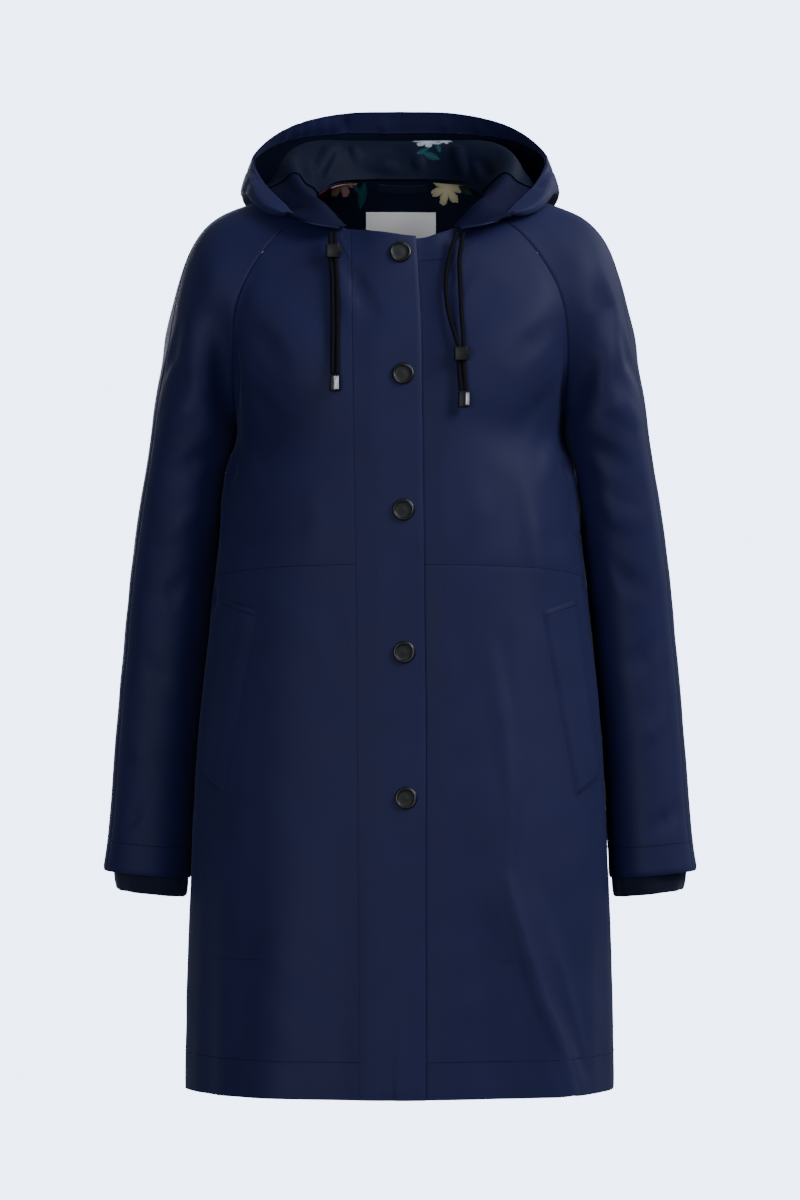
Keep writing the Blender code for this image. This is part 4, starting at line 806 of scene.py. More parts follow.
def folded(skin, folds, depth=FOLD_DEPTH):
    """The skin with folds raised or sunk along its normals."""
    lift = np.zeros(len(skin.points))
    for fold in folds:
        here = np.zeros(len(skin.points))
        for start, end in zip(fold, fold[1:]):
            start, run = np.array(start, float), np.array(end, float) - start
            away = skin.points - start[:3]
            share = (away @ run[:3] / (run[:3] @ run[:3])).clip(0, 1)
            away -= share[:, None] * run[:3]
            off = (away * skin.normals).sum(1)
            side = np.sqrt(((away - off[:, None] * skin.normals)**2).sum(1))
            width, height = start[3] + share * run[3], start[4] + share * run[4]
            bump = height * (1 - (side / width).clip(0, 1)**2)**2 * (abs(off) < depth)
            here = np.where(abs(bump) > abs(here), bump, here)
        lift += here
    return moved(skin, lift)


def moved(skin, lift):
    """The skin with each point moved that far along its normal."""
    points = skin.points + lift[:, None] * skin.normals
    return Skin(points, point_normals(points, skin.faces), skin.faces, skin.tags)


def uneven(skin):
    """The skin with the slow unevenness of worn cloth."""
    lift = [noise.noise(Vector(p) / UNEVEN_SIZE) * UNEVEN_HEIGHT for p in skin.points]
    return moved(skin, np.array(lift))


@lru_cache(maxsize=None)
def coat_skin():
    return uneven(folded(fitted_skin(coat_cage()), FOLDS + CREASES))


@lru_cache(maxsize=None)
def coat_tree():
    skin = coat_skin()
    return BVHTree.FromPolygons([Vector(p) for p in skin.points], skin.faces.tolist())


# ---------------------------------------------------------------- fine walls
EVERY_FACE = slice(None)      # chooses all the faces of a skin


def border(faces):
    """The edges that only one face has, each in its face's direction."""
    pairs = faces[:, [0, 1, 1, 2, 2, 3, 3, 0]].reshape(-1, 2)
    _, where, count = np.unique(np.sort(pairs, axis=1), axis=0, return_inverse=True,
                                return_counts=True)
    return pairs[count[where.ravel()] == 1]


def mitre_lengths(skin):
    """How much longer an offset along each point's normal is than the wall at its faces."""
    flat = face_normals(skin.points, skin.faces)
    flat /= np.linalg.norm(flat, axis=1)[:, None].clip(1e-9)
    total, count = np.zeros(len(skin.points)), np.zeros(len(skin.points))
    for k in range(4):
        corner = skin.faces[:, k]
        np.add.at(total, corner, abs((skin.normals[corner] * flat).sum(1)))
        np.add.at(count, corner, 1)
    return 1 / (total / count.clip(1)).clip(MITRE_LEAST, 1)


def edge_pull(skin, edges, gap):
    """Moves that draw a panel's border in along its own surface, half a seam gap."""
    a, b = edges[:, 0], edges[:, 1]
    inward = np.cross(skin.normals[a] + skin.normals[b], skin.points[b] - skin.points[a])
    inward /= np.linalg.norm(inward, axis=1)[:, None].clip(1e-9)
    total, count = np.zeros_like(skin.points), np.zeros(len(skin.points))
    for corner in (a, b):
        np.add.at(total, corner, inward)
        np.add.at(count, corner, 1)
    return gap / 2 * total * (count / (total**2).sum(1).clip(PULL_LEAST))[:, None]


def roll_in(skin, faces, edges, drops):
    """How far each point sinks at the panel's border, and at the points one step in from it."""
    sink = np.zeros(len(skin.points))
    ring = np.zeros(len(skin.points), bool)
    ring[edges.ravel()] = True
    sink[ring] = drops[0]
    beside = np.zeros_like(ring)
    beside[faces[ring[faces].any(axis=1)].ravel()] = True
    sink[beside & ~ring] = drops[1]
    return sink


def wall(skin, chosen, outer, inner, gap=SEAM_GAP, drops=SEAM_DROP, share=1.0):
    """A closed wall over the chosen faces: its points and its four-cornered faces."""
    faces = skin.faces[chosen]
    edges = border(faces)
    lengths = mitre_lengths(skin)[:, None]
    base = skin.points + edge_pull(skin, edges, gap)
    sink = (roll_in(skin, faces, edges, drops) * share)[:, None]
    used = np.unique(faces)
    number = np.zeros(len(skin.points), int)
    number[used] = np.arange(len(used))
    outside = base + skin.normals * lengths * (outer - sink)
    inside = base + skin.normals * lengths * inner
    top = number[faces]
    below = top[:, ::-1] + len(used)
    a, b = number[edges[:, 0]], number[edges[:, 1]]
    sides = np.column_stack([b, a, a + len(used), b + len(used)])
    return np.vstack([outside[used], inside[used]]), np.vstack([top, below, sides])


# ---------------------------------------------------------------- objects
SMOOTH_ANGLE = 40      # edges that turn more than this stay sharp, in degrees
SNAP_ANGLE = 50
BLOCK_ANGLE = 25


def mesh_object(name, points, faces, finish, smooth_angle=SMOOTH_ANGLE):
    """One named object from points in millimetres."""
    mesh = bpy.data.meshes.new(name)
    faces = faces.tolist() if hasattr(faces, "tolist") else faces
    mesh.from_pydata((np.array(points, float) * MM).tolist(), [], faces)
    for one in finish if isinstance(finish, (list, tuple)) else [finish]:
        mesh.materials.append(one)
    mesh.shade_smooth()
    mesh.set_sharp_from_angle(angle=np.radians(smooth_angle))
    made = bpy.data.objects.new(name, mesh)
    bpy.context.collection.objects.link(made)
    return made


def with_painted_shade_back(piece, on_back, on_edge=0):
    """Gives a wall its darker back of painted shade, where on_back says so for each of its faces, and the
    same on its cut edges where on_edge says so.
    """
    piece.data.materials.append(painted_shade_backing())
    side = np.zeros(len(piece.data.polygons), int)
    side[len(on_back):2 * len(on_back)] = on_back
    side[2 * len(on_back):] = on_edge
    piece.data.polygons.foreach_set("material_index", side)
    return piece


def dress(piece, slot, *nodes):
    """The piece rides on the coat and stands for these solids."""
    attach(piece, "root")
    if nodes:
        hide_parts(*nodes)
    return piece


def sheet_piece(node, walls, finish, slot="shell_cloth", on_back=None, on_edge=0):
    """The piece of cloth that stands for a node's solid, dressed."""
    piece = mesh_object(node + "_cloth", *walls, finish)
    if on_back is not None:
        with_painted_shade_back(piece, on_back, on_edge)
    dress(piece, slot, node)
    return piece


# ---------------------------------------------------------------- shader helpers
def feed(tree, node, inputs):
    """Gives a node its inputs; each takes a value or another node's output."""
    for key, value in inputs.items():
        if isinstance(value, bpy.types.NodeSocket):
            tree.links.new(value, node.inputs[key])
        else:
            node.inputs[key].default_value = value
    return node


def place(tree, kind, inputs=None, **settings):
    """A new node with its settings and inputs."""
    node = tree.nodes.new(kind)
    for key, value in settings.items():
        setattr(node, key, value)
    return feed(tree, node, inputs or {})


def maths(tree, operation, *values):
    return place(tree, "ShaderNodeMath", dict(enumerate(values)), operation=operation).outputs[0]


def blend(tree, share, first, second):
    """A colour between two, by share."""
    first, second = (colour if isinstance(colour, bpy.types.NodeSocket) else (*colour[:3], 1)
                     for colour in (first, second))
    return place(tree, "ShaderNodeMix", {0: share, 6: first, 7: second},
                 data_type="RGBA").outputs[2]


def around(tree, share, middle, spread):
    """A roughness that varies about a middle one, by share."""
    return place(tree, "ShaderNodeMapRange", {
        "Value": share, "To Min": max(LEAST_ROUGHNESS, middle - spread),
        "To Max": middle + spread}).outputs[0]


def relief(tree, height, strength, distance):
    """The normals of a surface that a height makes uneven."""
    return place(tree, "ShaderNodeBump", {"Height": height, "Strength": strength,
                                          "Distance": distance}).outputs[0]


def new_group(name, inputs, outputs):
    """An empty node group with named sockets, and its input and output nodes."""
    group = bpy.data.node_groups.new(name, "ShaderNodeTree")
    for side, sockets in (("INPUT", inputs), ("OUTPUT", outputs)):
        for label, kind, *value in sockets:
            socket = group.interface.new_socket(label, in_out=side, socket_type="NodeSocket" + kind)
            if value:
                socket.default_value = value[0]
    given = group.nodes.new("NodeGroupInput").outputs
    return group, given, group.nodes.new("NodeGroupOutput").inputs


def new_material(name):
    """A material with its node tree and its shader."""
    made = bpy.data.materials.new(name)
    made.use_nodes = True
    return made, made.node_tree, made.node_tree.nodes["Principled BSDF"]


def use_group(tree, group, **inputs):
    inputs = {key.replace("_", " "): value for key, value in inputs.items()}
    return place(tree, "ShaderNodeGroup", inputs, node_tree=group).outputs


# ---------------------------------------------------------------- effects shared by the materials
@lru_cache(maxsize=None)
def weave_group():
    """Crossing threads as a height, with a slow unevenness of the cloth as a mask."""
    group, given, out = new_group(
        "weave", [("Threads", "Float", 1400.0), ("Mottle Size", "Float", MOTTLE_SIZE)],
        [("Height", "Float"), ("Mottle", "Float")])
    spot = place(group, "ShaderNodeTexCoord").outputs["Object"]
    heights = []
    for turn in ((0, 0, WEAVE_TURN), (0, 0, -WEAVE_TURN)):
        turned = place(group, "ShaderNodeMapping", {"Vector": spot, "Rotation": turn}).outputs[0]
        wave = place(group, "ShaderNodeTexWave", {"Vector": turned, "Scale": given["Threads"],
                                                  "Distortion": 0.6}, wave_profile="SIN")
        heights.append(wave.outputs["Fac"])
    group.links.new(maths(group, "MULTIPLY", *heights), out["Height"])
    mottle = place(group, "ShaderNodeTexNoise", {"Vector": spot, "Scale": given["Mottle Size"],
                                                 "Detail": 4.0, "Roughness": 0.55})
    group.links.new(mottle.outputs["Fac"], out["Mottle"])
    return group


@lru_cache(maxsize=None)
def lint_group():
    """Faint lint: small light specks, more in some places than in others."""
    group, given, out = new_group("lint", [("Amount", "Float", 0.3)], [("Mask", "Float")])
    spot = place(group, "ShaderNodeTexCoord").outputs["Object"]
    specks = place(group, "ShaderNodeTexVoronoi", {"Vector": spot, "Scale": LINT_SCALE},
                   feature="F1")
    patches = place(group, "ShaderNodeTexNoise", {"Vector": spot, "Scale": LINT_PATCHES,
                                                  "Detail": 3.0})
    near = maths(group, "LESS_THAN", specks.outputs["Distance"], LINT_RADIUS)
    share = maths(group, "MULTIPLY", near, patches.outputs["Fac"])
    group.links.new(maths(group, "MULTIPLY", share, given["Amount"]), out["Mask"])
    return group


def cloth_material(name, colour, roughness, threads, bump, sheen, mottle=0.10, lint=0.06,
                   specular=0.16):
    """Woven cloth: a fine weave, a slow unevenness of colour, faint lint and a soft sheen."""
    made, tree, shader = new_material(name)
    weave = use_group(tree, weave_group(), Threads=threads, Mottle_Size=MOTTLE_SIZE)
    specks = use_group(tree, lint_group(), Amount=lint)
    light = tuple(min(1, c * (1 + 2 * mottle)) for c in colour)
    dark = tuple(c * (1 - 2 * mottle) for c in colour)
    base = blend(tree, weave["Mottle"], dark, light)
    base = blend(tree, specks["Mask"], base, tuple(c + LINT_PALER for c in colour))
    feed(tree, shader, {
        "Base Color": base, "Roughness": around(tree, weave["Mottle"], roughness, CLOTH_SPREAD),
        "Normal": relief(tree, weave["Height"], bump, WEAVE_DEPTH), "Specular IOR Level": specular,
        "Sheen Weight": sheen, "Sheen Roughness": SHEEN_ROUGHNESS, "Sheen Tint": SHEEN_TINT})
    made.diffuse_color = (*colour, 1)
    return made


def plain_material(name, colour, roughness, metallic=0.0, bump=0.08, specular=0.5):
    """Hard trim: moulded or plated, with a fine uneven grain."""
    made, tree, shader = new_material(name)
    spot = place(tree, "ShaderNodeTexCoord").outputs["Object"]
    cloud = place(tree, "ShaderNodeTexNoise", {"Vector": spot, "Scale": TRIM_GRAIN, "Detail": 5.0})
    shade = blend(tree, cloud.outputs["Fac"], tuple(c * 0.8 for c in colour),
                  tuple(min(1, c * 1.2) for c in colour))
    feed(tree, shader, {
        "Base Color": shade, "Roughness": around(tree, cloud.outputs["Fac"], roughness, TRIM_SPREAD),
        "Normal": relief(tree, cloud.outputs["Fac"], bump, TRIM_DEPTH),
        "Metallic": metallic, "Specular IOR Level": specular})
    made.diffuse_color = (*colour, 1)
    return made


@lru_cache(maxsize=None)
def shell_cloth():
    cloth = bpy.context.scene.coat_cloth
    return cloth_material("shell_cloth", tuple(cloth.navy), cloth.roughness, threads=1400.0,
                          bump=0.10, sheen=cloth.sheen)


@lru_cache(maxsize=None)
def inside_cloth():
    return cloth_material("lining_plain", tuple(bpy.context.scene.coat_cloth.lining), 0.5,
                          threads=900.0, bump=0.12, sheen=0.05)


# The shell's navy halved, with little specular: painted shade on the inner sides of the hood and panels, and
# painted shadow in the seam gaps at the panels' cut edges.
@lru_cache(maxsize=None)
def painted_shade_backing():
    navy = bpy.context.scene.coat_cloth.navy
    return cloth_material("backing_painted_shade", tuple(c * 0.5 for c in navy), 0.75, threads=900.0, bump=0.1,
                          sheen=0.0, lint=0.0, specular=0.08)


# Thread of the shell's navy at three tenths: partly the thread's own dark navy, partly painted shade
# standing for the groove under a row of stitching, which is not built.
@lru_cache(maxsize=None)
def thread():
    navy = tuple(bpy.context.scene.coat_cloth.navy)
    return cloth_material("thread", tuple(c * 0.3 for c in navy), 0.6, threads=2600.0, bump=0.2,
                          sheen=0.0)


# ---------------------------------------------------------------- stitching
def along(line, pitch):
    """Places at even steps along a line, each with the line's direction there."""
    line = np.array(line, float)
    run = run_of(step_lengths(line))
    count = max(int(run[-1] / pitch), 1)
    at = (np.arange(count) + 0.5) * run[-1] / count
    ways = points_at(at + 0.5, run, line) - points_at(at - 0.5, run, line)
    return points_at(at, run, line), ways / np.linalg.norm(ways, axis=1)[:, None]


def stitches(name, lines, fineness=1.0):
    """Rows of short threads that lie on the cloth; a line is (points, outward normals)."""
    size = bpy.context.scene.coat_sewing
    pitch, long, thick = size.stitch_pitch, size.stitch_length / 2, size.thread / 2 * fineness
    points, faces = [], []
    for line, normals in lines:
        places, ways = along(line, pitch)
        nearest = np.argmin(((places[:, None] - line[None])**2).sum(2), axis=1)
        for spot, way, up in zip(places, ways, normals[nearest]):
            side = np.cross(up, way)
            base = len(points)
            for reach, rise, width in STITCH_RINGS:
                wide = thick * width
                for turn in np.radians((0, 90, 180, 270)):
                    points.append(spot + way * (long * reach) + side * np.cos(turn) * wide
                                  + up * (thick * rise + np.sin(turn) * wide))
            for ring in range(len(STITCH_RINGS) - 1):
                for k in range(4):
                    a, b = base + ring * 4 + k, base + ring * 4 + (k + 1) % 4
                    faces.append((a, b, b + 4, a + 4))
            faces.append((base + 3, base + 2, base + 1, base))
            faces.append((base + 12, base + 13, base + 14, base + 15))
    return dress(mesh_object(name, points, faces, thread()), "shell_cloth")


def cast(points, ways):
    """Where rays meet the coat's skin: the points met and the skin's normals there."""
    hits = []
    for point, way in zip(points, ways):
        place_met, normal, _, _ = coat_tree().ray_cast(Vector(point), Vector(way))
        if place_met is not None:
            hits.append((place_met, normal))
    return np.array([h[0] for h in hits]), np.array([h[1] for h in hits])


def cast_back(x, y, z):
    """Where rays that go straight back from these places meet the coat's skin."""
    starts = np.column_stack([x, np.full(len(x), y), z])
    return cast(starts, np.tile((0, 1, 0), (len(starts), 1)))


def front_line(corners, sign=1):
    """A line on the coat's front through (x, z) corners, and the normals along it."""
    xs, zs = np.array(corners, float).T
    run = run_of(np.hypot(np.diff(xs), np.diff(zs)))
    at = np.linspace(0, run[-1], LINE_STEPS)
    return cast_back(np.interp(at, run, xs) * sign, IN_FRONT, np.interp(at, run, zs))


def ring_line(centre_x, height_at, reach):
    """A line round the body or a sleeve at a height that may change with x."""
    turn = np.linspace(0, 2 * np.pi, RING_STEPS)
    x, y = centre_x + reach * np.cos(turn), reach * np.sin(turn)
    inner = np.column_stack([np.full(RING_STEPS, centre_x), np.zeros(RING_STEPS), height_at(x)])
    outer = np.column_stack([x, y, height_at(x)])
    ways = outer - inner
    return cast(inner, ways / np.linalg.norm(ways, axis=1)[:, None])


# ---------------------------------------------------------------- grids
def smooth_line(points, span):
    """A smooth line through all the points, with span steps between two of them."""
    points = np.array(points, float)
    gaps = step_lengths(points)[:, None].clip(1e-6)
    slopes = np.diff(points, axis=0) / gaps
    tangents = np.vstack([slopes[:1], (slopes[:-1] * gaps[1:] + slopes[1:] * gaps[:-1])
                          / (gaps[1:] + gaps[:-1]), slopes[-1:]])
    line = []
    for k in range(len(gaps)):
        for t in np.arange(span) / span:
            line.append((2 * t**3 - 3 * t**2 + 1) * points[k] + (t**3 - 2 * t**2 + t) * gaps[k]
                        * tangents[k] + (3 * t**2 - 2 * t**3) * points[k + 1]
                        + (t**3 - t**2) * gaps[k] * tangents[k + 1])
    line.append(points[-1])
    return np.array(line)


def grid_skin(grid, closed=False):
    """A skin from rows of points; its tags are (row, column) of each face."""
    rows, columns = grid.shape[:2]
    r, c = np.meshgrid(np.arange(rows - 1), np.arange(columns if closed else columns - 1),
                       indexing="ij")
    r, c = r.ravel(), c.ravel()
    d = (c + 1) % columns
    faces = np.column_stack([r * columns + c, (r + 1) * columns + c, (r + 1) * columns + d,
                             r * columns + d])
    points = grid.reshape(-1, 3)
    return Skin(points, point_normals(points, faces), faces, np.column_stack([r, c]))


# ---------------------------------------------------------------- the coat's panels
def sunk_beside_placket(skin):
    """The skin as the fronts have it, sunk along the placket's free edge."""
    off = skin.points[:, 0] - at_height(PLACKET_EDGE, skin.points[:, 2])
    share = smooth_step(1 - abs(off) / SUNK_WIDTH) * (skin.points[:, 1] < 0)
    return moved(skin, -SUNK_DEPTH * share)


def seam_share(skin):
    """How much of a seam's depth shows at each point of the body."""
    share = np.interp(skin.points[:, 2], HIP_FADE, (HIP_SHARE, 1))
    off = skin.points[:, 0] - at_height(PLACKET_SEAM, skin.points[:, 2])
    at_placket = (abs(off) < PLACKET_SEAM_BAND) & (skin.points[:, 1] < 0)
    return np.where(at_placket, SOFT_SEAM, share)


class COAT_OT_panels(bpy.types.Operator):
    """Cut the coat's skin along its seams into fronts, back and sleeves"""

    bl_idname = "coat.panels"
    bl_label = "Fronts, Back and Sleeves"

    def execute(self, context):
        skin = sunk_beside_placket(coat_skin())
        for number, name in enumerate(PANELS):
            chosen = skin.tags % PLACKET_TAG == number
            share = 1.0 if "sleeve" in name else seam_share(skin)
            # Inner sides and cut edges take the darker backing: painted shade inside the coat and painted
            # shadow in the seam gaps.
            sheet_piece(name, wall(skin, chosen, 0, -WALL, share=share), shell_cloth(),
                        on_back=np.ones(chosen.sum(), bool), on_edge=1)
        return {"FINISHED"}


class COAT_OT_placket(bpy.types.Operator):
    """Lay the snap placket on the left front"""

    bl_idname = "coat.placket"
    bl_label = "Placket"

    def execute(self, context):
        skin = coat_skin()
        on = (skin.tags >= PLACKET_TAG) & (skin.tags < LINED_TAG)
        seam = at_height(PLACKET_SEAM, skin.points[:, 2])
        rise = smooth_step((skin.points[:, 0] - seam) / PLACKET_SLOPE)[:, None]
        outer = PLACKET_LIFT + ramp(PLACKET_AT_SEAM[0], PLACKET_WALL, rise)
        inner = PLACKET_LIFT * ramp(PLACKET_AT_SEAM[1], 1, rise)
        share = np.where(skin.points[:, 0] > seam + PLACKET_TURN, 1, SOFT_SEAM)
        sheet_piece("placket", wall(skin, on, outer, inner, 0, PLACKET_DROP, share), shell_cloth())
        return {"FINISHED"}


# ---------------------------------------------------------------- linings
def motif_group(name, petals):
    """The start of a motif's group, with the way from the motif's centre to each point."""
    group, given, out = new_group(
        name, [("Place", "Vector"), ("Centre", "Vector"), ("Size", "Float", 14.0),
               ("Petals", "Float", petals), ("Turn", "Float", 0.0)],
        [("Mask", "Float"), ("Shade", "Float")])
    off = place(group, "ShaderNodeVectorMath", {0: given["Place"], 1: given["Centre"]},
                operation="SUBTRACT").outputs[0]
    return group, given, out, off, partial(maths, group)


@lru_cache(maxsize=None)
def flower_group():
    """One flower of the print: where its petals are, and how far out each point of them is."""
    group, given, out, off, calc = motif_group("flower", 6.0)
    part = place(group, "ShaderNodeSeparateXYZ", {0: off}).outputs
    far = place(group, "ShaderNodeVectorMath", {0: off}, operation="LENGTH").outputs["Value"]
    turn = calc("ADD", calc("ARCTAN2", part[1], part[0]), given["Turn"])
    half_lobes = calc("MULTIPLY", given["Petals"], 0.5)
    lobe = calc("ABSOLUTE", calc("COSINE", calc("MULTIPLY", turn, half_lobes)))
    edge = calc("MULTIPLY_ADD", calc("POWER", lobe, PETAL_SHAPE[0]), *PETAL_SHAPE[1:])
    rough = place(group, "ShaderNodeTexNoise", {"Vector": given["Place"], "Scale": PETAL_EDGE[0]}).outputs[0]
    edge = calc("MULTIPLY", edge, calc("MULTIPLY_ADD", rough, *PETAL_EDGE[1:]))
    share = calc("DIVIDE", far, calc("MULTIPLY", edge, given["Size"]))
    group.links.new(calc("LESS_THAN", share, 1.0), out["Mask"])
    vein = calc("ABSOLUTE", calc("SINE", calc("MULTIPLY", turn, PETAL_VEINS)))
    body = calc("MULTIPLY", share, 1 - VEIN_SHARE)
    group.links.new(calc("MULTIPLY_ADD", vein, VEIN_SHARE, body), out["Shade"])
    return group


@lru_cache(maxsize=None)
def leaf_group():
    """One leaf of the print: a pointed oval with a pale middle vein."""
    group, given, out, off, calc = motif_group("leaf", 0.45)
    turned = place(group, "ShaderNodeVectorRotate", {"Vector": off, "Angle": given["Turn"]},
                   rotation_type="Z_AXIS").outputs[0]
    part = place(group, "ShaderNodeSeparateXYZ", {0: turned}).outputs
    far = calc("DIVIDE", part[0], given["Size"])
    half = calc("MULTIPLY", calc("SUBTRACT", 1.0, calc("MULTIPLY", far, far)),
                  calc("MULTIPLY", given["Size"], given["Petals"]))
    aside = calc("ABSOLUTE", part[1])
    group.links.new(calc("LESS_THAN", aside, half), out["Mask"])
    slant = calc("MULTIPLY", calc("SUBTRACT", part[0], aside), LEAF_RIBS)
    ribs = calc("ABSOLUTE", calc("SINE", slant))
    group.links.new(calc("MULTIPLY", ribs, calc("LESS_THAN", LEAF_VEIN, aside)), out["Shade"])
    return group


@lru_cache(maxsize=None)
def print_cloth():
    """Dark lining with a repeat of flowers and leaves, placed on the piece's own map."""
    ground = tuple(bpy.context.scene.coat_cloth.lining)
    made, tree, shader = new_material("lining_print")
    spot = place(tree, "ShaderNodeUVMap", uv_map="print").outputs[0]
    for operation, second in (("DIVIDE", (*REPEAT, 1)), ("FRACTION", (0, 0, 0)),
                              ("MULTIPLY", (*REPEAT, 0))):
        spot = place(tree, "ShaderNodeVectorMath", {0: spot, 1: second},
                     operation=operation).outputs[0]
    base = blend(tree, 0.0, ground, ground)
    for kind, x, y, size, petals, turn, colour in MOTIFS:
        group = leaf_group() if kind == "leaf" else flower_group()
        motif = use_group(tree, group, Place=spot, Centre=(x, y, 0), Size=float(size),
                          Petals=float(petals), Turn=float(np.radians(turn)))
        ink = blend(tree, motif["Shade"], PRINT_COLOURS[colour],
                    tuple(c * INK_SHADE for c in PRINT_COLOURS[colour]))
        base = blend(tree, motif["Mask"], base, ink)
    weave = use_group(tree, weave_group(), Threads=1900.0)
    feed(tree, shader, {"Base Color": base, "Roughness": 0.6, "Specular IOR Level": 0.05,
                        "Normal": relief(tree, weave["Height"], 0.1, WEAVE_DEPTH)})
    return made


def map_print(piece, across, up):
    """Gives a piece its print map, in millimetres, from a value across and a value up a point."""
    layer = piece.data.uv_layers.new(name="print")
    corners = np.empty(len(piece.data.loops), int)
    piece.data.loops.foreach_get("vertex_index", corners)
    layer.data.foreach_set("uv", np.column_stack([across[corners], up[corners]]).ravel())


class COAT_OT_neck_lining(bpy.types.Operator):
    """Line the back of the neck with the printed cloth"""

    bl_idname = "coat.neck_lining"
    bl_label = "Neck Lining"

    def execute(self, context):
        skin = coat_skin()
        points, faces = wall(skin, skin.tags >= LINED_TAG, *LINING_LEVELS)
        piece = sheet_piece("neck_lining", (points, faces), print_cloth(), "lining_cloth")
        map_print(piece, points[:, 0] - NECK_REPEAT_START[0], points[:, 2] - NECK_REPEAT_START[1])
        return {"FINISHED"}


# ---------------------------------------------------------------- hood
def neckline(skin):
    """The left half of the coat's neckline, from the hood's corner to the middle of the back."""
    rim = np.unique(border(skin.faces))
    top = [p for p in skin.points[rim] if p[2] > YOKE[0].front[1] - NECK_MARGIN]
    half = sorted((p for p in top if p[0] > -1e-3),
                  key=lambda p: np.arctan2(p[1] - NECK_MIDDLE_Y, p[0]))
    return beyond_x(np.array(half), HOOD_CORNER_X)


@lru_cache(maxsize=None)
def hood_skin():
    line = neckline(coat_skin())
    shares = smooth_line([(station.share, 0, 0) for station in HOOD], HOOD_SPAN)[:, 0]
    seam = np.array(shares_along(line, shares)) + (0, 0, SEAM_GAP)
    profiles = []
    for station in HOOD:
        start = shares_along(line, [station.share])[0] + (0, 0, SEAM_GAP)
        profiles.append(smooth_line([start, *station[1:]], HOOD_SPAN))
    profiles = np.array(profiles)
    half = np.stack([smooth_line(profiles[:, k], HOOD_SPAN) for k in range(profiles.shape[1])], 1)
    half[:, 0] = seam
    half[-1, :, 0] = 0
    grid = np.vstack([half, mirrored(half[-2::-1])])
    return folded(grid_skin(grid), HOOD_CREASES, HOOD_CREASE_DEPTH)


class COAT_OT_hood(bpy.types.Operator):
    """Sew the hood: two sides, a middle, the facing inside its rim and the printed lining"""

    bl_idname = "coat.hood"
    bl_label = "Hood"

    def execute(self, context):
        skin = hood_skin()
        row, column = skin.tags.T
        rows = row.max() + 1
        from_corner = np.minimum(row, rows - 1 - row) // HOOD_SPAN
        middle = from_corner >= len(HOOD) - 1 - MIDDLE_STATIONS
        left = row < rows // 2
        last = HOOD_SPAN * (len(HOOD[0]) - 1)
        rim = column >= last - CHANNEL_STEPS
        # Beyond the cord channel the hood's inner side takes the darker backing: painted shade of the hood's
        # hollow.
        for side, on in (("right", ~middle & ~left), ("middle", middle), ("left", ~middle & left)):
            sheet_piece("hood_" + side, wall(skin, on, 0, -WALL), shell_cloth(), on_back=~rim[on])
        lined = from_corner >= LINED_STATION
        rim = column >= last - FACING_STEPS
        sheet_piece("hood_facing", wall(skin, lined & rim, *LINING_LEVELS), shell_cloth())
        on = lined & ~rim
        piece = sheet_piece("hood_lining", wall(skin, on, *LINING_LEVELS), print_cloth(),
                            "lining_cloth")
        grid = skin.points.reshape(rows + 1, -1, 3)
        up = np.cumsum(np.linalg.norm(np.diff(grid, axis=1, prepend=grid[:, :1]), axis=2), axis=1)
        across = np.cumsum(np.linalg.norm(np.diff(grid, axis=0, prepend=grid[:1]), axis=2), axis=0)
        used = np.unique(skin.faces[on])
        up = (up + grid[:, :1, 2]).ravel()[used]
        across = (across[rows // 2] - across).ravel()[used]
        map_print(piece, np.tile(across, 2) - HOOD_REPEAT_START[0],
                  np.tile(up, 2) - HOOD_REPEAT_START[1])
        return {"FINISHED"}


# ---------------------------------------------------------------- cuffs and welts
class COAT_OT_storm_cuffs(bpy.types.Operator):
    """Fit the inner storm cuffs inside the sleeve hems"""

    bl_idname = "coat.storm_cuffs"
    bl_label = "Storm Cuffs"

    def execute(self, context):
        angles = 180 - 360 * np.arange(CUFF_COLUMNS) / CUFF_COLUMNS
        left = np.array([sleeve_ring(ring, angles) for ring in STORM_CUFF])
        left = np.stack([smooth_line(left[:, k], CUFF_SPAN) for k in range(CUFF_COLUMNS)], axis=1)
        for side, grid in (("left", left), ("right", mirrored(left)[:, ::-1])):
            skin = grid_skin(grid, closed=True)
            turn = np.radians(angles)
            flutes = np.sin(CUFF_FLUTES * turn + CUFF_DRIFT * np.sin(turn * 2))
            skin = moved(skin, CUFF_EASE / 2 * (np.tile(flutes, len(grid)) - 1))
            sheet_piece("storm_cuff_" + side, wall(skin, EVERY_FACE, 0, -WALL, 0), cuff_cloth(),
                        "storm_cuff_cloth")
        return {"FINISHED"}


@lru_cache(maxsize=None)
def cuff_cloth():
    return cloth_material("cuff_knit", tuple(bpy.context.scene.coat_cloth.lining), 0.85,
                          threads=1100.0, bump=0.35, sheen=0.15)


def patch(corners, columns, rows, sign=1):
    """A grid on the coat's front between four (x, z) corners."""
    top_in, top_out, low_in, low_out = np.array(corners, float)
    u, v = np.meshgrid(np.linspace(0, 1, columns), np.linspace(0, 1, rows))
    u, v = u[..., None], v[..., None]
    spots = (top_in * (1 - u) + top_out * u) * (1 - v) + (low_in * (1 - u) + low_out * u) * v
    flat = spots.reshape(-1, 2)
    return cast_back(flat[:, 0] * sign, IN_FRONT, flat[:, 1])[0].reshape(rows, columns, 3)


class COAT_OT_pocket_welts(bpy.types.Operator):
    """Sew the slanted pocket welts on the skirt"""

    bl_idname = "coat.pocket_welts"
    bl_label = "Pocket Welts"

    def execute(self, context):
        for side, sign in (("left", 1), ("right", -1)):
            columns, rows = WELT_GRID
            skin = grid_skin(patch(WELT_CORNERS, columns, rows, sign)[:, ::sign])
            across = np.tile(np.linspace(0, 1, columns), rows)
            rise = smooth_step((0.5 - abs(across - 0.5)) / WELT_SLOPES[side])
            outer = ramp(WELT_EDGES[0], WELT_LIFT + WELT_WALL, rise)[:, None]
            inner = ramp(WELT_EDGES[1], WELT_LIFT, rise)[:, None]
            share = ramp(WELT_EDGE_SHARE, 1, rise)
            sheet_piece("pocket_welt_" + side,
                        wall(skin, EVERY_FACE, outer, inner, 0, WELT_DROP, share), shell_cloth())
        return {"FINISHED"}


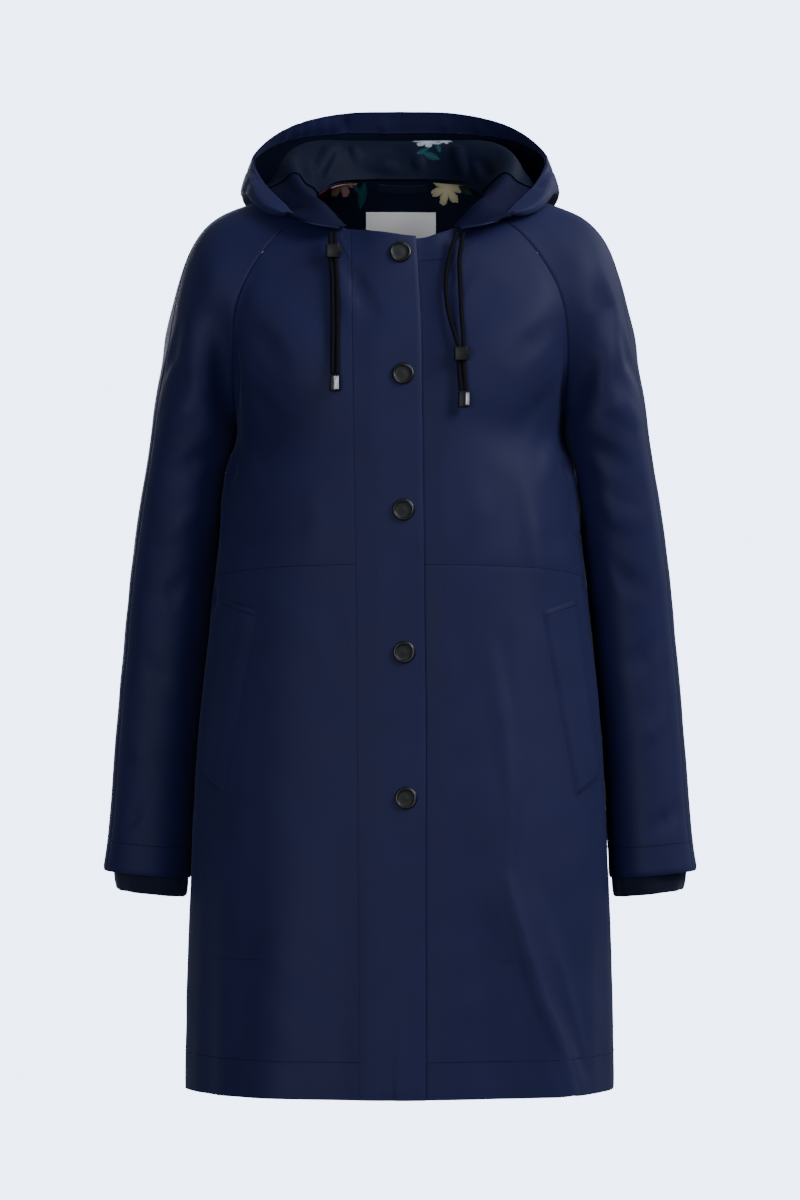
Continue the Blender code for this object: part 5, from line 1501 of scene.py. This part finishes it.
# ---------------------------------------------------------------- label and loop
def behind(columns, rows, centre_x, top, size):
    """A grid inside the back of the neck."""
    x = centre_x + size[0] * (0.5 - np.linspace(0, 1, columns))
    z = top - size[1] * np.linspace(0, 1, rows)
    xs, zs = np.meshgrid(x, z)
    return cast_back(xs.ravel(), 0.0, zs.ravel())[0].reshape(rows, columns, 3)


class COAT_OT_label(bpy.types.Operator):
    """Sew the bare neck label in"""

    bl_idname = "coat.label"
    bl_label = "Neck Label"

    def execute(self, context):
        skin = grid_skin(behind(*LABEL_GRID, LABEL_CENTRE_X, LABEL_TOP, LABEL_SIZE))
        walls = wall(skin, EVERY_FACE, -BEHIND_LINING, -BEHIND_LINING - LABEL_WALL, 0, (0, 0))
        sheet_piece("label", walls, label_cloth(), "label_cloth")
        return {"FINISHED"}


@lru_cache(maxsize=None)
def label_cloth():
    return cloth_material("label_satin", tuple(bpy.context.scene.coat_cloth.label), 0.45,
                          threads=1700.0, bump=0.15, sheen=0.0, mottle=0.02, lint=0.0)


class COAT_OT_hanger_loop(bpy.types.Operator):
    """Sew the hanger loop in above the label"""

    bl_idname = "coat.hanger_loop"
    bl_label = "Hanger Loop"

    def execute(self, context):
        grid = behind(*LOOP_GRID, LOOP_CENTRE_X, LOOP_TOP, LOOP_SIZE)
        grid[:, :, 2] -= LOOP_SAG * np.sin(np.linspace(0, np.pi, LOOP_GRID[0]))**LOOP_SAG_POWER
        walls = wall(grid_skin(grid), EVERY_FACE, -BEHIND_LINING, -BEHIND_LINING - LOOP_WALL, 0,
                     LOOP_DROP)
        sheet_piece("hanger_loop", walls, inside_cloth(), "lining_cloth")
        return {"FINISHED"}


# ---------------------------------------------------------------- snaps
@lru_cache(maxsize=None)
def snap_metal():
    return plain_material("snap_rim", tuple(bpy.context.scene.coat_trim.rim), 0.30, metallic=0.3)


@lru_cache(maxsize=None)
def snap_face():
    return plain_material("snap_face", tuple(bpy.context.scene.coat_trim.snap), 0.7, bump=0.2,
                          specular=0.2)


class COAT_OT_snaps(bpy.types.Operator):
    """Set the snap caps down the placket"""

    bl_idname = "coat.snaps"
    bl_label = "Snaps"

    def execute(self, context):
        profile = smooth_line([(r, 0, h) for r, h in SNAP_PROFILE], SNAP_SPAN)[:, (0, 2)]
        turn = np.linspace(0, 2 * np.pi, SNAP_TURNS, endpoint=False)
        grid = np.array([[(r * np.cos(t), r * np.sin(t), h) for t in turn] for r, h in profile])
        faces = grid_skin(grid, closed=True).faces
        for number, (x, z) in enumerate(SNAP_PLACES, 1):
            (spot,), (up,) = cast([(x, IN_FRONT, z)], [(0, 1, 0)])
            matrix = np.array(Vector(up).to_track_quat("Z", "Y").to_matrix())
            points = grid.reshape(-1, 3) @ matrix.T + spot + up * (PLACKET_LIFT + PLACKET_WALL)
            piece = mesh_object(f"snap_{number}_cap", points, faces, [snap_metal(), snap_face()],
                                SNAP_ANGLE)
            rows = np.arange(len(faces)) // SNAP_TURNS
            piece.data.polygons.foreach_set(
                "material_index", (profile[rows, 0] < SNAP_FACE_RADIUS).astype(int))
            dress(piece, "snap_metal", f"snap_{number}")
        return {"FINISHED"}


# ---------------------------------------------------------------- draw cords
@lru_cache(maxsize=None)
def braid():
    return cloth_material("cord_braid", tuple(bpy.context.scene.coat_trim.cord), 0.8,
                          threads=2200.0, bump=0.3, sheen=0.0, specular=0.08)


@lru_cache(maxsize=None)
def black_plastic():
    return plain_material("black_plastic", tuple(bpy.context.scene.coat_trim.plastic), 0.45,
                          specular=0.2)


@lru_cache(maxsize=None)
def bright_metal():
    return plain_material("bright_metal", METAL, 0.3, metallic=1.0)


def braided_tube(name, line, width):
    """A closed tube along a line, its surface raised in the crossing strands of a braid."""
    places, ways = along(line, BRAID_STEP)
    places = np.vstack([line[:1], places, line[-1:]])
    ways = np.vstack([ways[:1], ways, ways[-1:]])
    side = np.cross(ways, (0, 1, 0))
    side /= np.linalg.norm(side, axis=1)[:, None]
    front = np.cross(side, ways)
    turn = np.linspace(0, 2 * np.pi, BRAID_SIDES, endpoint=False)
    run = np.arange(len(places))[:, None] * BRAID_STEP
    wave = np.cos(BRAID_STRANDS * turn + run / BRAID_PITCH) * np.cos(
        BRAID_STRANDS * turn - run / BRAID_PITCH)
    radius = width / 2 * (BRAID_RELIEF[0] + BRAID_RELIEF[1] * wave)
    radius[0] = radius[-1] = width / 2 * BRAID_TIP
    points = (places[:, None] + side[:, None] * (np.cos(turn) * radius)[..., None]
              + front[:, None] * (np.sin(turn) * radius)[..., None])
    faces = grid_skin(points, closed=True).faces.tolist()
    faces.append(tuple(range(BRAID_SIDES)))
    faces.append(tuple(range((len(places) - 1) * BRAID_SIDES, len(places) * BRAID_SIDES))[::-1])
    return mesh_object(name, points.reshape(-1, 3), [tuple(f)[::-1] for f in faces], braid())


def rounded_block(name, outlines, heights, centre, finish, slot=None):
    """A block through outlines at rising heights, with a slot through it if one is given."""
    rings = [[(centre[0] + x, centre[1] + y, centre[2] + h) for x, y in outline]
             for outline, h in zip(outlines, heights)]
    if slot:
        inner = [(centre[0] + x, centre[1] + y) for x, y in slot]
        rings += [[(x, y, rings[-1][0][2]) for x, y in inner],
                  [(x, y, rings[0][0][2]) for x, y in inner]]
    sides, count = len(rings[0]), len(rings)
    faces = [(r * sides + k, r * sides + (k + 1) % sides, (r + 1) % count * sides + (k + 1) % sides,
              (r + 1) % count * sides + k) for r in range(count if slot else count - 1)
             for k in range(sides)]
    if not slot:
        faces += [tuple(range(sides))[::-1], tuple(range((count - 1) * sides, count * sides))]
    return mesh_object(name, [p for ring in rings for p in ring], faces, finish,
                       BLOCK_ANGLE)


def rounded_outline(width, depth, radius):
    """A rectangle with round corners, anticlockwise from above."""
    outline = []
    for start, (x, y) in zip((-90, 0, 90, 180), ((1, -1), (1, 1), (-1, 1), (-1, -1))):
        centre = x * (width / 2 - radius), y * (depth / 2 - radius)
        for turn in np.radians(start + np.linspace(0, 90, ROUND_STEPS)):
            outline.append((centre[0] + radius * np.cos(turn), centre[1] + radius * np.sin(turn)))
    return outline


def softened(size, radius):
    """Outlines and heights of a block whose top and bottom edges are rounded."""
    outlines, heights = [], []
    turns = np.radians(np.linspace(-90, 0, EDGE_STEPS))
    for turn in list(turns) + list(-turns[::-1]):
        inset = radius * (1 - np.cos(turn))
        outlines.append(rounded_outline(size[0] - 2 * inset, size[1] - 2 * inset, LOCK_ROUND))
        heights.append(np.sign(turn) * (size[2] / 2 - radius * (1 - abs(np.sin(turn)))) if turn
                       else (size[2] / 2 - radius) * (-1 if len(heights) < EDGE_STEPS else 1))
    return outlines, heights


class COAT_OT_draw_cords(bpy.types.Operator):
    """Hang the braided draw cords with their locks and ends"""

    bl_idname = "coat.draw_cords"
    bl_label = "Draw Cords"

    def execute(self, context):
        on_cord = {name: [] for name in CORD_ROUTES}
        for name, (centre, size, slot) in LOCKS.items():
            piece = rounded_block(name + "_body", *softened(size, LOCK_EDGE), centre,
                                  black_plastic(), rounded_outline(*slot, LOCK_ROUND))
            strand = "cord_" + name.split("_")[-1]
            on_cord[strand + "_a"].append(dress(piece, "black_plastic", name))
            shift = (size[0] / 2 + PLUNGER_SIZE[0] / 2 - PLUNGER_SUNK, 0, PLUNGER_RISE)
            tab = rounded_block(name + "_plunger", *softened(PLUNGER_SIZE, PLUNGER_EDGE),
                                np.array(centre) + shift, black_plastic())
            on_cord[strand + "_a"].append(dress(tab, "black_plastic"))
        for name, (centre, size) in CORD_ENDS.items():
            outlines, heights = softened(size, END_EDGE)
            slim = np.interp(heights, (-size[2] / 2, size[2] / 2), (1, CORD_END_TOP))
            outlines = [[(x * s, y * s) for x, y in o] for o, s in zip(outlines, slim)]
            piece = rounded_block(name + "_tip", outlines, heights, centre, black_plastic())
            strand = "cord_" + name.split("_")[-1]
            on_cord[strand + "_a"].append(dress(piece, "black_plastic", name))
            shift, plate_size = END_PLATES[name]
            plate = rounded_block(name + "_plate", *softened(plate_size, PLATE_EDGE),
                                  np.array(centre) + shift, bright_metal())
            on_cord[strand + "_b"].append(dress(plate, "black_plastic"))
        for name, route in CORD_ROUTES.items():
            line = smooth_line(route, CORD_SPAN)
            piece = dress(braided_tube(name + "_braid", line, CORD_DIAMETER), "cord_braid", name)
        return {"FINISHED"}


# ---------------------------------------------------------------- sewing
class COAT_OT_sewing(bpy.types.Operator):
    """Sew the rows of stitching along hems, neck, skirt and pockets"""

    bl_idname = "coat.sewing"
    bl_label = "Stitching"

    def execute(self, context):
        hem = ring_line(0, lambda x: np.full(len(x), HEM_STITCH), HEM_REACH)
        last = SLEEVE[-1]
        sleeves = [ring_line((last.x_in + last.x_out) / 2 * sign, cuff_row, CUFF_REACH)
                   for sign in (1, -1)]
        stitches("hem_stitches", [hem])
        stitches("sleeve_stitches", sleeves)
        stitches("neck_stitches", [front_line(line) for line in NECK_ROWS])
        stitches("skirt_stitches", [front_line(line) for line in SKIRT_ROWS], fineness=0.5)
        for side, sign in (("left", 1), ("right", -1)):
            lines = [front_line(line, sign=sign) for line in welt_lines()]
            lines = [(p + n * (WELT_LIFT + WELT_WALL), n) for p, n in lines]
            stitches(f"pocket_{side}_stitches", lines)
        return {"FINISHED"}


def cuff_row(x):
    """The height of the row above a sleeve's hem, which slants as the hem does."""
    last = SLEEVE[-1]
    return last.z_in + CUFF_STITCH + (last.z_out - last.z_in) * (abs(x) - last.x_in) / (
        last.x_out - last.x_in)


def welt_lines():
    """Lines a little inside the welt's edges."""
    top_in, top_out, low_in, low_out = np.array(WELT_CORNERS, float)
    down = (low_in - top_in) / np.linalg.norm(low_in - top_in)
    across = (top_out - top_in) / np.linalg.norm(top_out - top_in)
    from_top, from_foot, aside = WELT_ROWS
    sideways = across * aside
    return [(top_in + down * from_top + sideways, top_out + down * from_top - sideways),
            (low_in - down * from_foot + sideways, low_out - down * from_foot - sideways)]


# ---------------------------------------------------------------- studio
class COAT_OT_studio(bpy.types.Operator):
    """Set the pale floor and backdrop, the soft lights and the camera"""

    bl_idname = "coat.studio"
    bl_label = "Studio"

    def execute(self, context):
        studio = context.scene.coat_studio
        floor = CAD_BOX[0][2] - FLOOR_DROP
        turns = np.linspace(0, np.pi / 2, STUDIO_STEPS)
        profile = [(FLOOR_START, floor), (STUDIO_RADIUS - STUDIO_BEND, floor)]
        profile += [(STUDIO_RADIUS - STUDIO_BEND * (1 - np.sin(t)),
                     floor + STUDIO_BEND * (1 - np.cos(t))) for t in turns[1:]]
        profile += [(STUDIO_RADIUS * np.cos(t), floor + STUDIO_BEND + STUDIO_RADIUS * np.sin(t))
                    for t in turns[1:-1]]
        round_it = np.linspace(0, 2 * np.pi, 4 * STUDIO_STEPS, endpoint=False)
        grid = np.array([[(r * np.cos(t), r * np.sin(t), z) for t in round_it] for r, z in profile])
        faces = grid_skin(grid, closed=True).faces
        backdrop = mesh_object("backdrop", grid.reshape(-1, 3) / MM, faces, paper())
        backdrop.visible_diffuse = backdrop.visible_glossy = backdrop.visible_shadow = False
        for name, size, power, spot, tint in STUDIO_LIGHTS:
            light = bpy.data.lights.new(name, "AREA")
            light.shape, light.size = "DISK", size
            light.energy, light.color = power * studio.light, tint
            lamp = bpy.data.objects.new(name, light)
            lamp.location = spot
            aim = Vector(LIGHT_TARGET) - Vector(spot)
            lamp.rotation_euler = aim.to_track_quat("-Z", "Y").to_euler()
            context.collection.objects.link(lamp)
        world = bpy.data.worlds.new("studio")
        world.use_nodes = True
        feed(world.node_tree, world.node_tree.nodes["Background"],
             {"Color": (*studio.air, 1), "Strength": studio.air_strength})
        context.scene.world = world
        camera = bpy.data.cameras.new("camera")
        camera.lens, camera.sensor_height = CAMERA_LENS, CAMERA_SENSOR
        camera.sensor_fit = "VERTICAL"
        view = bpy.data.objects.new("camera", camera)
        view.location = CAMERA
        view.rotation_euler = (np.pi / 2, 0, 0)
        context.collection.objects.link(view)
        context.scene.camera = view
        return {"FINISHED"}


@lru_cache(maxsize=None)
def paper():
    studio = bpy.context.scene.coat_studio
    made, tree, shader = new_material("paper")
    feed(tree, shader, {"Base Color": (0, 0, 0, 1), "Roughness": 1.0, "Specular IOR Level": 0.0,
                        "Emission Color": (*studio.paper, 1),
                        "Emission Strength": studio.paper_strength})
    return made


# ---------------------------------------------------------------- settings
def colour_property(name, description, default):
    return bpy.props.FloatVectorProperty(name=name, description=description, default=default,
                                         subtype="COLOR", min=0.0, max=1.0)


def number_property(name, description, default, low, high):
    return bpy.props.FloatProperty(name=name, description=description, default=default, min=low,
                                   max=high)


class CoatCloth(bpy.types.PropertyGroup):
    navy: colour_property("Shell", "Colour of the shell cloth", (0.0064, 0.0082, 0.0440))
    lining: colour_property("Lining", "Ground of the printed lining", (0.0042, 0.0066, 0.0190))
    label: colour_property("Label", "Colour of the bare neck label", (0.90, 0.90, 0.91))
    roughness: number_property("Roughness", "Roughness of the shell cloth", 0.62, 0.05, 1.0)
    sheen: number_property("Sheen", "Soft sheen of the shell cloth", 0.06, 0.0, 1.0)


class CoatSewing(bpy.types.PropertyGroup):
    stitch_pitch: number_property("Pitch", "From one stitch to the next, in mm", 3.4, 1.5, 8.0)
    stitch_length: number_property("Length", "Length of a stitch, in mm", 3.0, 1.0, 7.0)
    thread: number_property("Thread", "Thickness of the thread, in mm", 0.6, 0.1, 1.5)


class CoatTrim(bpy.types.PropertyGroup):
    snap: colour_property("Snap Face", "Colour of the snaps' matte faces", (0.014, 0.0165, 0.016))
    rim: colour_property("Snap Rim", "Colour of the snaps' gloss rims", (0.005, 0.006, 0.010))
    cord: colour_property("Cord", "Colour of the braided cord", (0.0030, 0.0036, 0.0060))
    plastic: colour_property("Plastic", "Colour of the locks and cord ends",
                             (0.0030, 0.0034, 0.0045))


class CoatStudio(bpy.types.PropertyGroup):
    light: number_property("Light", "Strength of all the lamps", 1.0, 0.0, 10.0)
    paper: colour_property("Paper", "Colour of the floor and backdrop", (0.64, 0.73, 1.0))
    paper_strength: number_property("Paper Strength", "Light of the backdrop", 6.4, 0.0, 20.0)
    air: colour_property("Air", "Colour of the light from all round", (0.90, 0.94, 1.0))
    air_strength: number_property("Air Strength", "Light from all round", 0.24, 0.0, 5.0)


SETTINGS = {"coat_cloth": CoatCloth, "coat_sewing": CoatSewing, "coat_trim": CoatTrim,
            "coat_studio": CoatStudio}
STEPS = [COAT_OT_panels, COAT_OT_placket, COAT_OT_neck_lining, COAT_OT_hood, COAT_OT_storm_cuffs,
         COAT_OT_pocket_welts, COAT_OT_label, COAT_OT_hanger_loop, COAT_OT_snaps,
         COAT_OT_draw_cords, COAT_OT_sewing, COAT_OT_studio]


class COAT_PT_panel(bpy.types.Panel):
    """Sizes, colours and steps of the coat"""

    bl_idname = "COAT_PT_panel"
    bl_label = "Hooded Raglan Coat"
    bl_space_type = "VIEW_3D"
    bl_region_type = "UI"
    bl_category = "Coat"

    def draw(self, context):
        for name, group in SETTINGS.items():
            box = self.layout.box()
            for field in group.__annotations__:
                box.prop(getattr(context.scene, name), field)
        column = self.layout.column(align=True)
        for step in STEPS:
            column.operator(step.bl_idname)


def register():
    for made in (*SETTINGS.values(), *STEPS, COAT_PT_panel):
        bpy.utils.register_class(made)
    for name, group in SETTINGS.items():
        setattr(bpy.types.Scene, name, bpy.props.PointerProperty(type=group))


def unregister():
    for name in SETTINGS:
        delattr(bpy.types.Scene, name)
    for made in (COAT_PT_panel, *reversed(STEPS), *reversed(SETTINGS.values())):
        bpy.utils.unregister_class(made)


def main():
    register()
    for step in STEPS:
        group, name = step.bl_idname.split(".")
        getattr(getattr(bpy.ops, group), name)()


if __name__ == "__main__":
    main()
